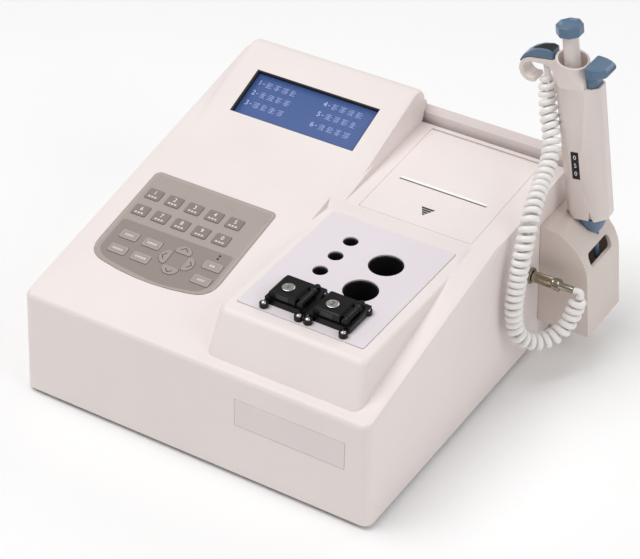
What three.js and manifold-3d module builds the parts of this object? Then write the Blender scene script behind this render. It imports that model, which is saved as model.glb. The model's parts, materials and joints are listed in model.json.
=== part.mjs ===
// Coagulation analyzer: a sloped bench housing with a display, a keypad, a heated block with two lidded
// measuring channels, a printer, and a pipette in a side holder on a curly cord.
// Millimetres, +Z up, the front faces -Y. The origin is the middle of the base, on the table.
import * as THREE from 'three';
import { mergeVertices } from 'three/addons/utils/BufferGeometryUtils.js';
import { ConvexGeometry } from 'three/addons/geometries/ConvexGeometry.js';
import Module from 'manifold-3d';

const wasm = await Module();
wasm.setup();

// General
const gap = 0.3;
const overrun = 10;
const mergeReach = 0.0001;
const tabletCurve = 3;
const roundSides = 16;
const largeSides = 24;
const fineSides = 20;
const smallSides = 10;
const pinSides = 8;

// Housing
const bodyWidth = 320;
const bodyDepth = 328;
const footHeight = 4;
const wall = 3;
const draftShare = 0.035;
const deckFrontHeight = 95;
const deckRiseShare = 0.215;
const bodyCorner = 7;
const bodyEdge = 4;

// Printer platform and the ridge behind it
const platformWidth = 139;
const platformLength = 125.5;
const platformRearInset = 11;
const platformRise = 8.8275;
const platformLeft = bodyWidth - platformWidth;
const platformRear = bodyDepth - platformRearInset;
const platformFront = platformRear - platformLength;
const platformRearHeight = deckFrontHeight + deckRiseShare * platformFront + platformRise;
const ridgeRun = 5.8;
const ridgeRise = 14;
const ridgeHeight = platformRearHeight + ridgeRise;

// Display hood
const hoodLeft = 18;
const hoodRight = platformLeft;
const hoodSetBack = 21.5;
const hoodFoot = platformFront + hoodSetBack;
const hoodRiseShare = 0.386;
const hoodTopRadius = 14;
const hoodFloorDrop = 25;
const hoodFloorHeight = platformRearHeight - hoodFloorDrop;
const hoodEdge = 5;

// Raised block
const plateWidth = 110.5;
const plateLength = 139;
const plateSideInset = 8.7;
const plateFrontInset = 12.5;
const plateRearInset = 1;
const blockRightInset = 23;
const blockRightRim = 9.8;
const blockSetBack = 7;
const blockRise = 28.12;
const blockRootDrop = 42;
const blockRightTop = bodyWidth - blockRightInset;
const blockLeft = blockRightTop - blockRightRim - plateWidth - plateSideInset;
const blockRear = platformFront - blockSetBack;
const blockFrontTop = blockRear - plateRearInset - plateLength - plateFrontInset;
const blockHeight = deckFrontHeight + deckRiseShare * blockFrontTop + blockRise;
const blockRootHeight = blockHeight - blockRootDrop;
const blockFrontRun = 25;
const blockSideRun = 8;
const blockCorner = 7;
const blockEdge = 4;
const shelfClear = 20;

// Display
const displayLeft = 41;
const displayWidth = 119;
const displayStart = 27.3;
const displayHeight = 46.6;
const paneThickness = 2;
const paneMargin = 4;
const moduleDepth = 9;
const moduleMargin = 7;
const glassMargin = 3.5;
const bezelDepth = 1.5;

// Keypad
const keypadSetBack = 161;
const keypadFront = hoodFoot - keypadSetBack;
const keypadLeft = 24;
const keypadWidth = 116;
const keypadLength = 108.5;
const keypadBelly = 9;
const keypadSag = 3;
const keypadTopCorner = 5;
const keypadFootCorner = 16;
const overlayThickness = 1;
const overlayRecess = 1;
const keypadLedge = 4;
const boardThickness = 1.6;
const keyGap = 0.25;
const keyTravel = 0.5;
const keyRise = 0.6;
const keyRestGap = 0.6;
const keyCorner = 1.5;
const numberKeyWidth = 13.8;
const numberKeyLength = 11.3;
const numberPitchAcross = 19.4;
const numberPitchAlong = 19.4;
const numberFirstAcross = 13.3;
const numberLowRow = 64.7;
const modeKeyWidth = 16.4;
const modeKeyLength = 8.8;
const modeLeftAcross = 21.2;
const modePitchAcross = 22;
const modeRightAcross = 100.5;
const modeLowRow = 21;
const modePitchAlong = 16.4;
const padAcross = 71;
const padAlong = 30.8;
const padInner = 7.5;
const padOuter = 15.5;
const padKeyWidth = 15.2;
const padOutlineShares = [[0, 0.82], [0.22, 1], [0.64, 0.84], [1, 0.36]];

// Well plate, heating block and wells
const plateLeft = blockLeft + plateSideInset;
const plateFront = blockFrontTop + plateFrontInset;
const plateThickness = 1.5;
const plateRecess = 1;
const plateLedge = 6;
const plateCorner = 2;
const smallWellRadius = 6.25;
const largeWellRadius = 14.1;
const smallWellAcross = 32.9;
const smallWellAlong = 65.3;
const smallWellX = plateLeft + smallWellAcross;
const smallWellFront = plateFront + smallWellAlong;
const smallWellPitch = 22.4;
const largeWellAcross = 72.3;
const largeWellAlong = 59.7;
const largeWellX = plateLeft + largeWellAcross;
const largeWellFront = plateFront + largeWellAlong;
const largeWellPitch = 37.7;
const wellDepth = 34;
const bushRun = 0.6;
const heaterDepth = 40;

// Measuring channels
const channelInset = 18.8;
const channelFrontInset = 8.5;
const channelLeft = plateLeft + channelInset;
const channelFront = plateFront + channelFrontInset;
const channelPitch = 38.7;
const channelWidth = 36;
const channelLength = 33;
const channelBaseHeight = 5;
const cuvetteRadius = 4.5;
const cuvetteAcross = 14.5;
const cuvetteAlong = 11.5;
const lidAcross = 3.5;
const lidAlong = 1.5;
const lidWidth = 23;
const lidLength = 21.5;
const lidThickness = 6.6;
const lidChamfer = 1.5;
const lidArmThickness = 3;
const discRadius = 5.2;
const discRise = 0.4;
const pinAcross = 30.5;
const pinRise = 3.2;
const pinRadius = 0.9;
const pinPlay = 0.4;
const knuckleRadius = 2.6;
const knuckleStart = 6;
const knuckleLength = 13;
const earLength = 4;
const lugRadius = 3.6;
const lugHeight = 3.4;
const lugReach = 4.2;
const lugInset = 2.7;
const rearLugInset = 1.6;

// Badge
const badgeWidth = 96.5;
const badgeRightInset = 22.5;
const badgeLeft = bodyWidth - badgeRightInset - badgeWidth;
const badgeBottom = 47;
const badgeHeight = 24;
const badgeThickness = 1.2;
const badgeRecess = 1.2;
const badgeRise = 0.3;

// Printer
const coverInset = 12.5;
const coverLeft = platformLeft + coverInset;
const coverRightInset = 25.7;
const coverWidth = platformWidth - coverInset - coverRightInset;
const coverStart = 2;
const coverLength = 118;
const coverThickness = 2.5;
const coverCorner = 2;
const hingeRadius = 1.8;
const hingeInset = 2.2;
const stubRadius = 1;
const stubLength = 2;
const stubPlay = 0.3;
const printerRim = 6;
const rimMargin = 5;
const bayLedge = 4;
const slotAcross = 10;
const slotRightInset = 11.8;
const slotWidth = coverWidth - slotAcross - slotRightInset;
const slotAlong = 47.6;
const slotOpening = 2.2;
const trayWall = 2;
const trayDepth = 46;
const trayMargin = 2;
const rollerRadius = 4.6;
const rollerInset = 0.5;
const rollerLength = slotWidth - 2 * rollerInset;
const rollerAlong = 54;
const rollerDepth = 13;
const shaftRadius = 2;
const shaftLength = 3;
const shaftPlay = 0.3;
const cheekThickness = 3;
const cheekPlay = 1;
const cheekDepth = 22;
const cheekStart = 38;
const cheekLength = 24;
const headDepth = 9;
const headLength = 6;
const headHeight = 8;
const rollRadius = 20.5;
const rollCore = 6;
const rollAlong = 88;
const paperThickness = 0.5;
const paperTuck = 0.8;
const leaveAcrossShare = 0.6;
const leaveDownShare = 0.8;

// Base pan, feet and posts
const panRaise = 1;
const panThickness = 2.5;
const panPlay = 0.4;
const footRadius = 8;
const footInset = 26;
const footTaper = 1;
const postRadius = 4.5;
const postInset = 15;
const standoffRadius = 3;
const standoffHeight = 8;
const standoffInset = 6;
const mainBoardLeft = 24;
const mainBoardFront = 40;
const mainBoardWidth = 130;
const supplyLeft = 40;
const supplyWidth = 62;
const supplyLength = 100;
const supplyRearInset = 28;
const supplyFront = bodyDepth - supplyRearInset - supplyLength;
const boardClear = 50;
const mainBoardLength = supplyFront - boardClear - mainBoardFront;
const supplyHeight = 34;
const detectorWidth = 84;
const detectorLength = 44;

// Rear panel
const panelLeft = 40;
const panelWidth = 220;
const panelBottom = 22;
const panelHeight = 56;
const panelThickness = 2;
const panelLap = 6;
const inletAcross = 30;
const inletWidth = 27;
const inletHeight = 20;
const inletDepth = 18;
const inletFlange = 2;
const inletFlangeMargin = 3;
const inletHollow = 15;
const inletWall = 3;
const bladeWidth = 2;
const bladeHeight = 5;
const bladeRise = 1.25;
const bladeLength = 9;
const bladePitch = 7;
const switchAcross = 66;
const switchWidth = 12;
const switchHeight = 20;
const switchDepth = 8;
const switchProud = 1.8;
const switchPlay = 0.5;
const portAcross = 118;
const portWidth = 17;
const portHeight = 9;
const portDepth = 10;
const portFlangeWidth = 31;
const portFlangeHeight = 13;
const portFlange = 1.2;
const portRise = 1;
const ventCount = 6;
const ventAcross = 160;
const ventPitch = 8;
const ventWidth = 3.5;
const ventHeight = 34;

// Pipette holder
const holderLength = 58;
const holderFront = bodyDepth - holderLength;
const holderBottom = 24;
const holderWall = 3;
const holderTopHeight = 116.5;
const holderOutTop = 40.5;
const holderOutFoot = 45.5;
const holderReachTop = bodyWidth + holderOutTop;
const holderReachFoot = bodyWidth + holderOutFoot;
const holderShoulder = 80;
const holderCurveAcrossShares = [0.1, 0.37, 0.57, 0.735, 0.88, 0.965];
const holderCurveDownShares = [0.01, 0.065, 0.205, 0.375, 0.595, 0.81];
const holderCorner = 2;
const windowStart = 9.5;
const windowLength = 36.5;
const windowLow = 84.5;
const windowHigh = 96.3;
const windowCorner = 4;
const socketPlay = 0.5;

// Side socket and cord plug
const jackRearInset = 73.6;
const jackAlong = bodyDepth - jackRearInset;
const jackHeight = 78;
const jackRadius = 5;
const jackNutRadius = 6.8;
const jackNutThickness = 2.5;
const jackDepth = 12;
const jackBore = 3;
const plugBarrelRadius = 4.6;
const plugBarrelLength = 19;
const plugNutRadius = 5.2;
const plugNutLength = 5;
const plugSleeveRadius = 3;
const plugSleeveLength = 12;

// Pipette, in a frame along its own axis
const pipetteOut = 27;
const pipetteRearInset = 22;
const pipetteX = bodyWidth + pipetteOut;
const pipetteY = bodyDepth - pipetteRearInset;
const pipetteZ = 104.5;
const pipetteLean = 9;
const gripAcross = -2;
const gripBottom = 13;
const gripTop = 131;
const gripWidth = 37.9;
const gripDepth = 27;
const gripFootShare = 0.953;
const gripToe = 3.5;
const gripToeShare = 0.87;
const gripShoulder = 13;
const notchAcross = 3.5;
const notchWidth = 9;
const notchHeight = 9.5;
const notchDepth = 4;
const gripSeatShare = 0.99;
const gripChamferShare = 0.3;
const collarAcross = -7;
const collarRadius = 13.4;
const collarTop = 150.5;
const collarRiseAcrossShare = -0.25;
const collarRiseAlongShare = 0.12;
const mouthRadius = 11.6;
const mouthFloor = 136;
const plungerAcross = -7.4;
const plungerRadius = 6.4;
const plungerLow = 118;
const plungerHigh = 176.5;
const plungerTravel = 14;
const knobRadius = 11.1;
const knobHeight = 9.5;
const knobBevel = 1.5;
const knobSeat = 5;
const knobSides = 8;
const noseTopRadius = 11;
const noseMiddleRadius = 7.5;
const noseNeckRadius = 2.9;
const noseTipRadius = 2.4;
const noseShoulder = 9;
const noseMiddle = 2;
const noseNeck = -3;
const noseTip = -28;
const noseTop = 12.7;
const hookWidth = 15;
const hookRing = 10.4;
const hookHole = 7.2;
const hookAcross = -40.5;
const hookHeight = 139.7;
const hookLap = 2.6;
const hookFoot = 134;
const hookTurnStart = 90;
const hookTurnEnd = 285;
const hookTurnSteps = 10;
const hookUnderside = [[-27.6, 146.2], [-23.5, 143.8], [-21.6, 140.7]];
const inlayWidth = 13;
const inlayStart = -21.2;
const inlayTurnEnd = 150;
const inlayCrown = [[-50.4, 146.6], [-46.5, 151.7], [-40.3, 155.5], [-33, 158], [-25, 158.6], [-21.2, 157.2]];
const ejectorReach = 26.5;
const ejectorWidth = 25;
const ejectorRootShare = 0.96;
const ejectorTipShare = 0.6;
const ejectorLow = 118;
const ejectorHigh = 150.5;
const ejectorInner = 7.9;
const ejectorOuter = 14.9;
const ejectorStemWidth = 17;
const ejectorStemCut = 3.5;
const ejectorPlate = 9.5;
const ejectorTip = 3;
const ejectorTravel = 7;
const counterAcross = -5.4;
const counterWidth = 6.2;
const counterLow = 50.2;
const counterHeight = 24;
const counterDepth = 1.2;
const glandAcross = -30;
const glandRadius = 3;
const glandLow = 141;

// Curly cord: route as chosen points, and the helix that follows it
const cordRadius = 2.7;
const curlRadius = 5;
const curlPitch = 6;
const curlSteps = 8;
const cordSides = 5;
const startRamp = 1.2;
const endRamp = 0.9;
const turnSteps = 600;
const cordStraight = 2 * cordRadius;
const startLead = 7;
const endLead = 9;
const leadSteps = 6;
const clearLimit = 0.4;
const selfReach = 14;
const cordRoute = [
  [-20.5, -25.3, 210],
  [-14.8, -31.5, 197.5],
  [-7.9, -39.7, 185.5],
  [-3.1, -52.1, 174.8],
  [0, -69.1, 166],
  [4, -87.9, 160],
  [8.3, -104.8, 149.5],
  [9.6, -114.5, 131.5],
  [9, -120, 105],
  [8.6, -122.7, 84],
  [9, -121, 67],
  [11.5, -118.6, 54.8],
  [16.3, -112.1, 45.6],
  [24.5, -100.3, 40.4],
  [32.8, -88.4, 43.8],
  [38, -80.6, 53.5],
  [40.6, -76.8, 65],
  [42.3, -74.8, 71.8],
  [43.2, -73.9, 75.4],
];

// Simple solids
function box(x0, x1, y0, y1, z0, z1) {
  const geometry = new THREE.BoxGeometry(x1 - x0, y1 - y0, z1 - z0);
  return geometry.translate((x0 + x1) / 2, (y0 + y1) / 2, (z0 + z1) / 2);
}

function rod(x, y, z0, z1, radius, sides = roundSides) {
  const geometry = new THREE.CylinderGeometry(radius, radius, z1 - z0, sides);
  return geometry.rotateX(Math.PI / 2).translate(x, y, (z0 + z1) / 2);
}

function rodAlongX(x0, x1, y, z, radius, sides = roundSides) {
  const geometry = new THREE.CylinderGeometry(radius, radius, x1 - x0, sides);
  return geometry.rotateZ(Math.PI / 2).translate((x0 + x1) / 2, y, z);
}

function rodAlongY(x, y0, y1, z, radius, sides = roundSides) {
  const geometry = new THREE.CylinderGeometry(radius, radius, y1 - y0, sides);
  return geometry.translate(x, (y0 + y1) / 2, z);
}

function hull(points) {
  return new ConvexGeometry(points.map((p) => new THREE.Vector3(...p)));
}

function tablet(x0, x1, y0, y1, z0, z1, radius) {
  const shape = new THREE.Shape();
  shape.moveTo(x0 + radius, y0);
  shape.lineTo(x1 - radius, y0);
  shape.absarc(x1 - radius, y0 + radius, radius, -Math.PI / 2, 0);
  shape.lineTo(x1, y1 - radius);
  shape.absarc(x1 - radius, y1 - radius, radius, 0, Math.PI / 2);
  shape.lineTo(x0 + radius, y1);
  shape.absarc(x0 + radius, y1 - radius, radius, Math.PI / 2, Math.PI);
  shape.lineTo(x0, y0 + radius);
  shape.absarc(x0 + radius, y0 + radius, radius, Math.PI, 1.5 * Math.PI);
  return slab(shape, z0, z1, tabletCurve);
}

function slab(shape, z0, z1, curveSegments) {
  const geometry = new THREE.ExtrudeGeometry(shape, { depth: z1 - z0, bevelEnabled: false, curveSegments });
  return geometry.translate(0, 0, z0);
}

// A profile of [y, z] points pushed along X from x0 to x1
function slabAlongX(profile, x0, x1) {
  const shape = new THREE.Shape(profile.map(([y, z]) => new THREE.Vector2(y, z)));
  const geometry = new THREE.ExtrudeGeometry(shape, { depth: x1 - x0, bevelEnabled: false });
  return geometry.rotateX(Math.PI / 2).rotateZ(Math.PI / 2).translate(x0, 0, 0);
}

// A profile of [x, z] points pushed along Y from y0 to y1
function slabAlongY(profile, y0, y1) {
  const shape = new THREE.Shape(profile.map(([x, z]) => new THREE.Vector2(x, z)));
  const geometry = new THREE.ExtrudeGeometry(shape, { depth: y1 - y0, bevelEnabled: false });
  return geometry.rotateX(Math.PI / 2).translate(0, y1, 0);
}

// A profile of [radius, z] points turned about the Z axis through x, y
function turned(profile, x = 0, y = 0, sides = roundSides) {
  const points = profile.map(([radius, z]) => new THREE.Vector2(radius, z));
  return new THREE.LatheGeometry(points, sides).rotateX(Math.PI / 2).translate(x, y, 0);
}

// Booleans
function solid(geometry) {
  const plain = new THREE.BufferGeometry();
  plain.setAttribute('position', geometry.getAttribute('position'));
  plain.setIndex(geometry.getIndex());
  const merged = mergeVertices(plain, mergeReach);
  const vertProperties = new Float32Array(merged.getAttribute('position').array);
  const triVerts = new Uint32Array(merged.getIndex().array);
  return new wasm.Manifold(new wasm.Mesh({ numProp: 3, vertProperties, triVerts }));
}

function joined(...geometries) {
  return geometries.map(solid).reduce((sum, part) => sum.add(part));
}

function less(body, ...geometries) {
  return geometries.map(solid).reduce((rest, part) => rest.subtract(part), body);
}

function geometryOf(manifold) {
  const { vertProperties, triVerts } = manifold.getMesh();
  const geometry = new THREE.BufferGeometry();
  geometry.setAttribute('position', new THREE.BufferAttribute(new Float32Array(vertProperties), 3));
  geometry.setIndex(new THREE.BufferAttribute(new Uint32Array(triVerts), 1));
  return geometry;
}

// Frames: groups that carry pieces, and cutters set in them
function frame(parent, x, y, z, tilt) {
  const group = new THREE.Group();
  group.position.set(x, y, z);
  group.rotation.x = tilt;
  parent.add(group);
  group.updateMatrix();
  return group;
}

function within(group, geometry) {
  return geometry.applyMatrix4(group.matrix);
}

// Materials
function paint(color, roughness, metalness = 0) {
  return new THREE.MeshStandardMaterial({ color, roughness, metalness });
}

const casingPlastic = paint(0xefe5e3, 0.5);
const holderPlastic = paint(0xd8cdc8, 0.5);
const platePlastic = paint(0xe6dde4, 0.4);
const keypadGrey = paint(0xb4aaa6, 0.5);
const keyGrey = paint(0x8f8681, 0.5);
const channelBlack = paint(0x141516, 0.35);
const displayBlue = paint(0x5570a8, 0.2);
const pipetteWhite = paint(0xe2dad5, 0.4);
const pipetteBlue = paint(0x54688a, 0.45);
const cordWhite = paint(0xf2f0ee, 0.45);
const bareMetal = paint(0xb5aa98, 0.35, 0.9);
const sheetSteel = paint(0xa9aaab, 0.45, 0.8);
const boardGreen = paint(0x1f5a3a, 0.6);
const darkPlastic = paint(0x202123, 0.5);
const rubber = paint(0x2a2a2b, 0.85);
const paper = paint(0xf6f4f0, 0.9);

// Places worked out from the sizes
const deckTilt = Math.atan(deckRiseShare);
const deckAt = (y) => deckFrontHeight + deckRiseShare * y;
const platformFrontHeight = deckAt(platformFront);
const platformRiseShare = (platformRearHeight - platformFrontHeight) / (platformRear - platformFront);
const platformTilt = Math.atan(platformRiseShare);
const hoodTilt = Math.atan(hoodRiseShare);
const draftTilt = Math.atan(draftShare);
const leanAt = (z) => draftShare * (z - footHeight);
const objectReach = holderReachFoot;

const analyzer = new THREE.Group();
analyzer.name = 'coagulation_analyzer';
const body = frame(analyzer, -objectReach / 2, -bodyDepth / 2, 0, 0);
const deck = frame(body, keypadLeft, keypadFront, deckAt(keypadFront), deckTilt);
const hood = frame(body, 0, hoodFoot, deckAt(hoodFoot), hoodTilt);
const platform = frame(body, 0, platformFront, platformFrontHeight, platformTilt);
const frontWall = frame(body, 0, 0, footHeight, Math.PI / 2 - draftTilt);
const blockTop = frame(body, 0, 0, blockHeight, 0);
const pipette = frame(body, pipetteX, pipetteY, pipetteZ, 0);
pipette.rotation.y = -THREE.MathUtils.degToRad(pipetteLean);
pipette.updateMatrix();

function piece(name, shape, material, parent = body) {
  const geometry = shape.isBufferGeometry ? shape : geometryOf(shape);
  const mesh = new THREE.Mesh(geometry, material);
  mesh.name = name;
  parent.add(mesh);
}

// Housing form at a distance inside the outer skin
const cornerTurns = [
  [-1, -1, Math.PI],
  [1, -1, 1.5 * Math.PI],
  [1, 1, 0],
  [-1, 1, 0.5 * Math.PI],
];
const cornerSteps = 3;

// Ring of points on the plane z = height + rise * y, on walls that lean in with height
function wallRing(height, rise, inset, radius) {
  const points = [];
  for (const [sideX, sideY, start] of cornerTurns) {
    const centreX = bodyWidth / 2 + sideX * (bodyWidth / 2 - inset - radius);
    const centreY = bodyDepth / 2 + sideY * (bodyDepth / 2 - inset - radius);
    for (let step = 0; step <= cornerSteps; step++) {
      const angle = start + (step / cornerSteps) * (Math.PI / 2);
      const x = centreX + radius * Math.cos(angle);
      const y = centreY + radius * Math.sin(angle);
      const upright = height + rise * (y + sideY * draftShare * footHeight);
      const z = upright / (1 + rise * sideY * draftShare);
      points.push([x - sideX * leanAt(z), y - sideY * leanAt(z), z]);
    }
  }
  return points;
}

function wedgeForm(inset) {
  const top = deckFrontHeight - inset;
  const foot = inset > 0 ? footHeight - overrun : footHeight;
  const corner = bodyCorner - inset;
  const points = wallRing(foot, 0, inset, corner);
  if (inset > 0) {
    points.push(...wallRing(top, deckRiseShare, inset, corner));
  } else {
    for (let step = 0; step <= 2; step++) {
      const angle = (step / 2) * (Math.PI / 2);
      const pulled = bodyEdge * (1 - Math.cos(angle));
      const drop = bodyEdge * (1 - Math.sin(angle));
      points.push(...wallRing(top - drop, deckRiseShare, pulled, Math.max(corner - pulled, gap)));
    }
  }
  return hull(points);
}

function platformCut(inset) {
  const floorAt = (y) => platformFrontHeight + platformRiseShare * (y - platformFront) - inset;
  const rearFoot = platformRear - inset;
  const over = bodyDepth + overrun;
  const sky = ridgeHeight + bodyDepth;
  const profile = [
    [platformFront, floorAt(platformFront)],
    [rearFoot, floorAt(rearFoot)],
    [rearFoot + ridgeRun, ridgeHeight - inset],
    [over, ridgeHeight - inset],
    [over, sky],
    [platformFront, sky],
  ];
  return slabAlongX(profile, platformLeft - inset, bodyWidth + overrun);
}

function shelfCut(inset) {
  const front = plateFront + plateLength / 2;
  const floor = blockHeight - inset;
  const profile = [
    [front, floor],
    [blockRear + inset, floor],
    [platformFront + inset, platformFrontHeight - inset],
    [platformFront + inset, floor + shelfClear],
    [front, floor + shelfClear],
  ];
  return slabAlongX(profile, blockLeft - inset, blockRightTop + inset);
}

function hoodForm(inset) {
  const radius = hoodTopRadius - inset;
  const faceNormal = [-Math.sin(hoodTilt), Math.cos(hoodTilt)];
  const rearNormal = [Math.cos(draftTilt), Math.sin(draftTilt)];
  const faceReach = faceNormal[0] * hoodFoot + faceNormal[1] * deckAt(hoodFoot) - inset;
  const rearReach = rearNormal[0] * bodyDepth + rearNormal[1] * footHeight - inset;
  const span = faceNormal[0] * rearNormal[1] - faceNormal[1] * rearNormal[0];
  const a = faceReach - radius;
  const b = rearReach - radius;
  const centreY = (a * rearNormal[1] - b * faceNormal[1]) / span;
  const centreZ = (b * faceNormal[0] - a * rearNormal[0]) / span;
  const profile = [];
  const turnSteps = 5;
  for (let step = 0; step <= turnSteps; step++) {
    const angle = draftTilt + (step / turnSteps) * (Math.PI / 2 + hoodTilt - draftTilt);
    const normal = [Math.cos(angle), Math.sin(angle)];
    profile.push([centreY + radius * normal[0], centreZ + radius * normal[1], normal]);
  }
  const faceStart = hoodFoot - hoodTopRadius;
  const faceFoot = deckAt(hoodFoot) - hoodRiseShare * hoodTopRadius - inset / faceNormal[1];
  profile.push([faceStart, faceFoot, faceNormal]);
  const floor = hoodFloorHeight - inset;
  profile.push([faceStart, floor, [0, 0]]);
  profile.push([bodyDepth - leanAt(floor) - inset, floor, rearNormal]);
  const points = [];
  const edge = inset > 0 ? 0 : hoodEdge;
  for (const [side, end] of [[-1, hoodLeft + inset], [1, hoodRight - inset]]) {
    for (let step = 0; step <= 2; step++) {
      const angle = (step / 2) * (Math.PI / 2);
      const pulled = edge * (1 - Math.sin(angle));
      const drop = edge * (1 - Math.cos(angle));
      for (const [y, z, normal] of profile) {
        points.push([end - side * pulled, y - normal[0] * drop, z - normal[1] * drop]);
      }
    }
  }
  return hull(points);
}

function blockForm(inset) {
  const edge = inset > 0 ? 0 : blockEdge;
  const top = blockHeight - inset;
  const corner = blockCorner - inset;
  const levels = [[blockRootHeight, 0]];
  for (let step = 0; step <= 2; step++) {
    const angle = (step / 2) * (Math.PI / 2);
    levels.push([top - edge * (1 - Math.sin(angle)), edge * (1 - Math.cos(angle))]);
  }
  const points = [];
  for (const [z, pulled] of levels) {
    const fall = (blockHeight - z) / (blockHeight - blockRootHeight);
    const margin = inset + pulled;
    const left = blockLeft + margin;
    const right = blockRightTop + blockSideRun * fall - margin;
    const front = blockFrontTop - blockFrontRun * fall + margin;
    const radius = Math.max(corner - pulled, gap);
    for (const [sideX, sideY, start] of cornerTurns) {
      const centreX = sideX > 0 ? right - radius : left + radius;
      const centreY = sideY > 0 ? blockRear + inset - radius : front + radius;
      for (let step = 0; step <= cornerSteps; step++) {
        const angle = start + (step / cornerSteps) * (Math.PI / 2);
        points.push([centreX + radius * Math.cos(angle), centreY + radius * Math.sin(angle), z]);
      }
    }
  }
  return hull(points);
}

function housingForm(inset) {
  const wedge = solid(wedgeForm(inset)).subtract(solid(platformCut(inset)));
  const raised = wedge.add(solid(hoodForm(inset))).add(solid(blockForm(inset)));
  return raised.subtract(solid(shelfCut(inset)));
}

// Keypad outline, in the deck frame, pulled in by a margin
function keypadShape(margin) {
  const shape = new THREE.Shape();
  const left = margin;
  const right = keypadWidth - margin;
  const top = keypadLength - margin;
  const low = keypadBelly + margin;
  const topRadius = Math.max(keypadTopCorner - margin, gap);
  const lowRadius = keypadFootCorner - margin;
  shape.moveTo(left, low + lowRadius);
  shape.quadraticCurveTo(left, low, left + lowRadius, low - keypadSag);
  shape.quadraticCurveTo(keypadWidth / 2, margin - keypadSag, right - lowRadius, low - keypadSag);
  shape.quadraticCurveTo(right, low, right, low + lowRadius);
  shape.lineTo(right, top - topRadius);
  shape.absarc(right - topRadius, top - topRadius, topRadius, 0, Math.PI / 2);
  shape.lineTo(left + topRadius, top);
  shape.absarc(left + topRadius, top - topRadius, topRadius, Math.PI / 2, Math.PI);
  return shape;
}

const keypadCurve = 5;

// Keys: name, outline maker and place in the deck frame
const keys = [];
for (let digit = 0; digit < 10; digit++) {
  const place = (digit + 9) % 10;
  const across = numberFirstAcross + (place % 5) * numberPitchAcross;
  const along = numberLowRow + (place < 5 ? numberPitchAlong : 0);
  keys.push({ name: `number_key_${digit}`, across, along, width: numberKeyWidth, length: numberKeyLength });
}
const modePlaces = [
  [modeLeftAcross, 1],
  [modeLeftAcross + modePitchAcross, 1],
  [modeLeftAcross, 0],
  [modeLeftAcross + modePitchAcross, 0],
  [modeRightAcross, 1],
  [modeRightAcross, 0],
];
modePlaces.forEach(([across, row], index) => {
  const along = modeLowRow + row * modePitchAlong;
  keys.push({ name: `mode_key_${index + 1}`, across, along, width: modeKeyWidth, length: modeKeyLength });
});
['arrow_key_right', 'arrow_key_up', 'arrow_key_left', 'arrow_key_down'].forEach((name, index) => {
  keys.push({ name, across: padAcross, along: padAlong, turn: index * (Math.PI / 2) });
});

// Key outline grown by a margin: a rounded oblong, or an arrow key that widens outwards
function keyBody(key, margin, z0, z1) {
  if (key.turn === undefined) {
    const halfWidth = key.width / 2 + margin;
    const halfLength = key.length / 2 + margin;
    const radius = keyCorner + margin;
    const oblong = tablet(-halfWidth, halfWidth, -halfLength, halfLength, z0, z1, radius);
    return oblong.translate(key.across, key.along, 0);
  }
  const inner = padInner - margin;
  const run = padOuter + margin - inner;
  const half = padKeyWidth / 2 + margin;
  const edge = padOutlineShares.map(([out, wide]) => new THREE.Vector2(inner + out * run, wide * half));
  const opposite = edge.map((point) => new THREE.Vector2(point.x, -point.y));
  const shape = new THREE.Shape([...opposite, ...edge.reverse()]);
  return slab(shape, z0, z1, 1).rotateZ(key.turn).translate(key.across, key.along, 0);
}

// Wells and cuvette seats, in the body frame
const wells = [];
for (let index = 0; index < 3; index++) {
  wells.push([smallWellX, smallWellFront + index * smallWellPitch, smallWellRadius, roundSides]);
}
for (let index = 0; index < 2; index++) {
  wells.push([largeWellX, largeWellFront + index * largeWellPitch, largeWellRadius, largeSides]);
}
for (let index = 0; index < 2; index++) {
  const x = channelLeft + index * channelPitch + cuvetteAcross;
  wells.push([x, channelFront + cuvetteAlong, cuvetteRadius, roundSides]);
}

// Base pan height and post places
const panBottom = footHeight + panRaise;
const panTop = panBottom + panThickness;
const postPlaces = [
  [postInset, postInset],
  [bodyWidth - postInset, postInset],
  [postInset, bodyDepth - postInset],
  [bodyWidth - postInset, bodyDepth - postInset],
];

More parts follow.
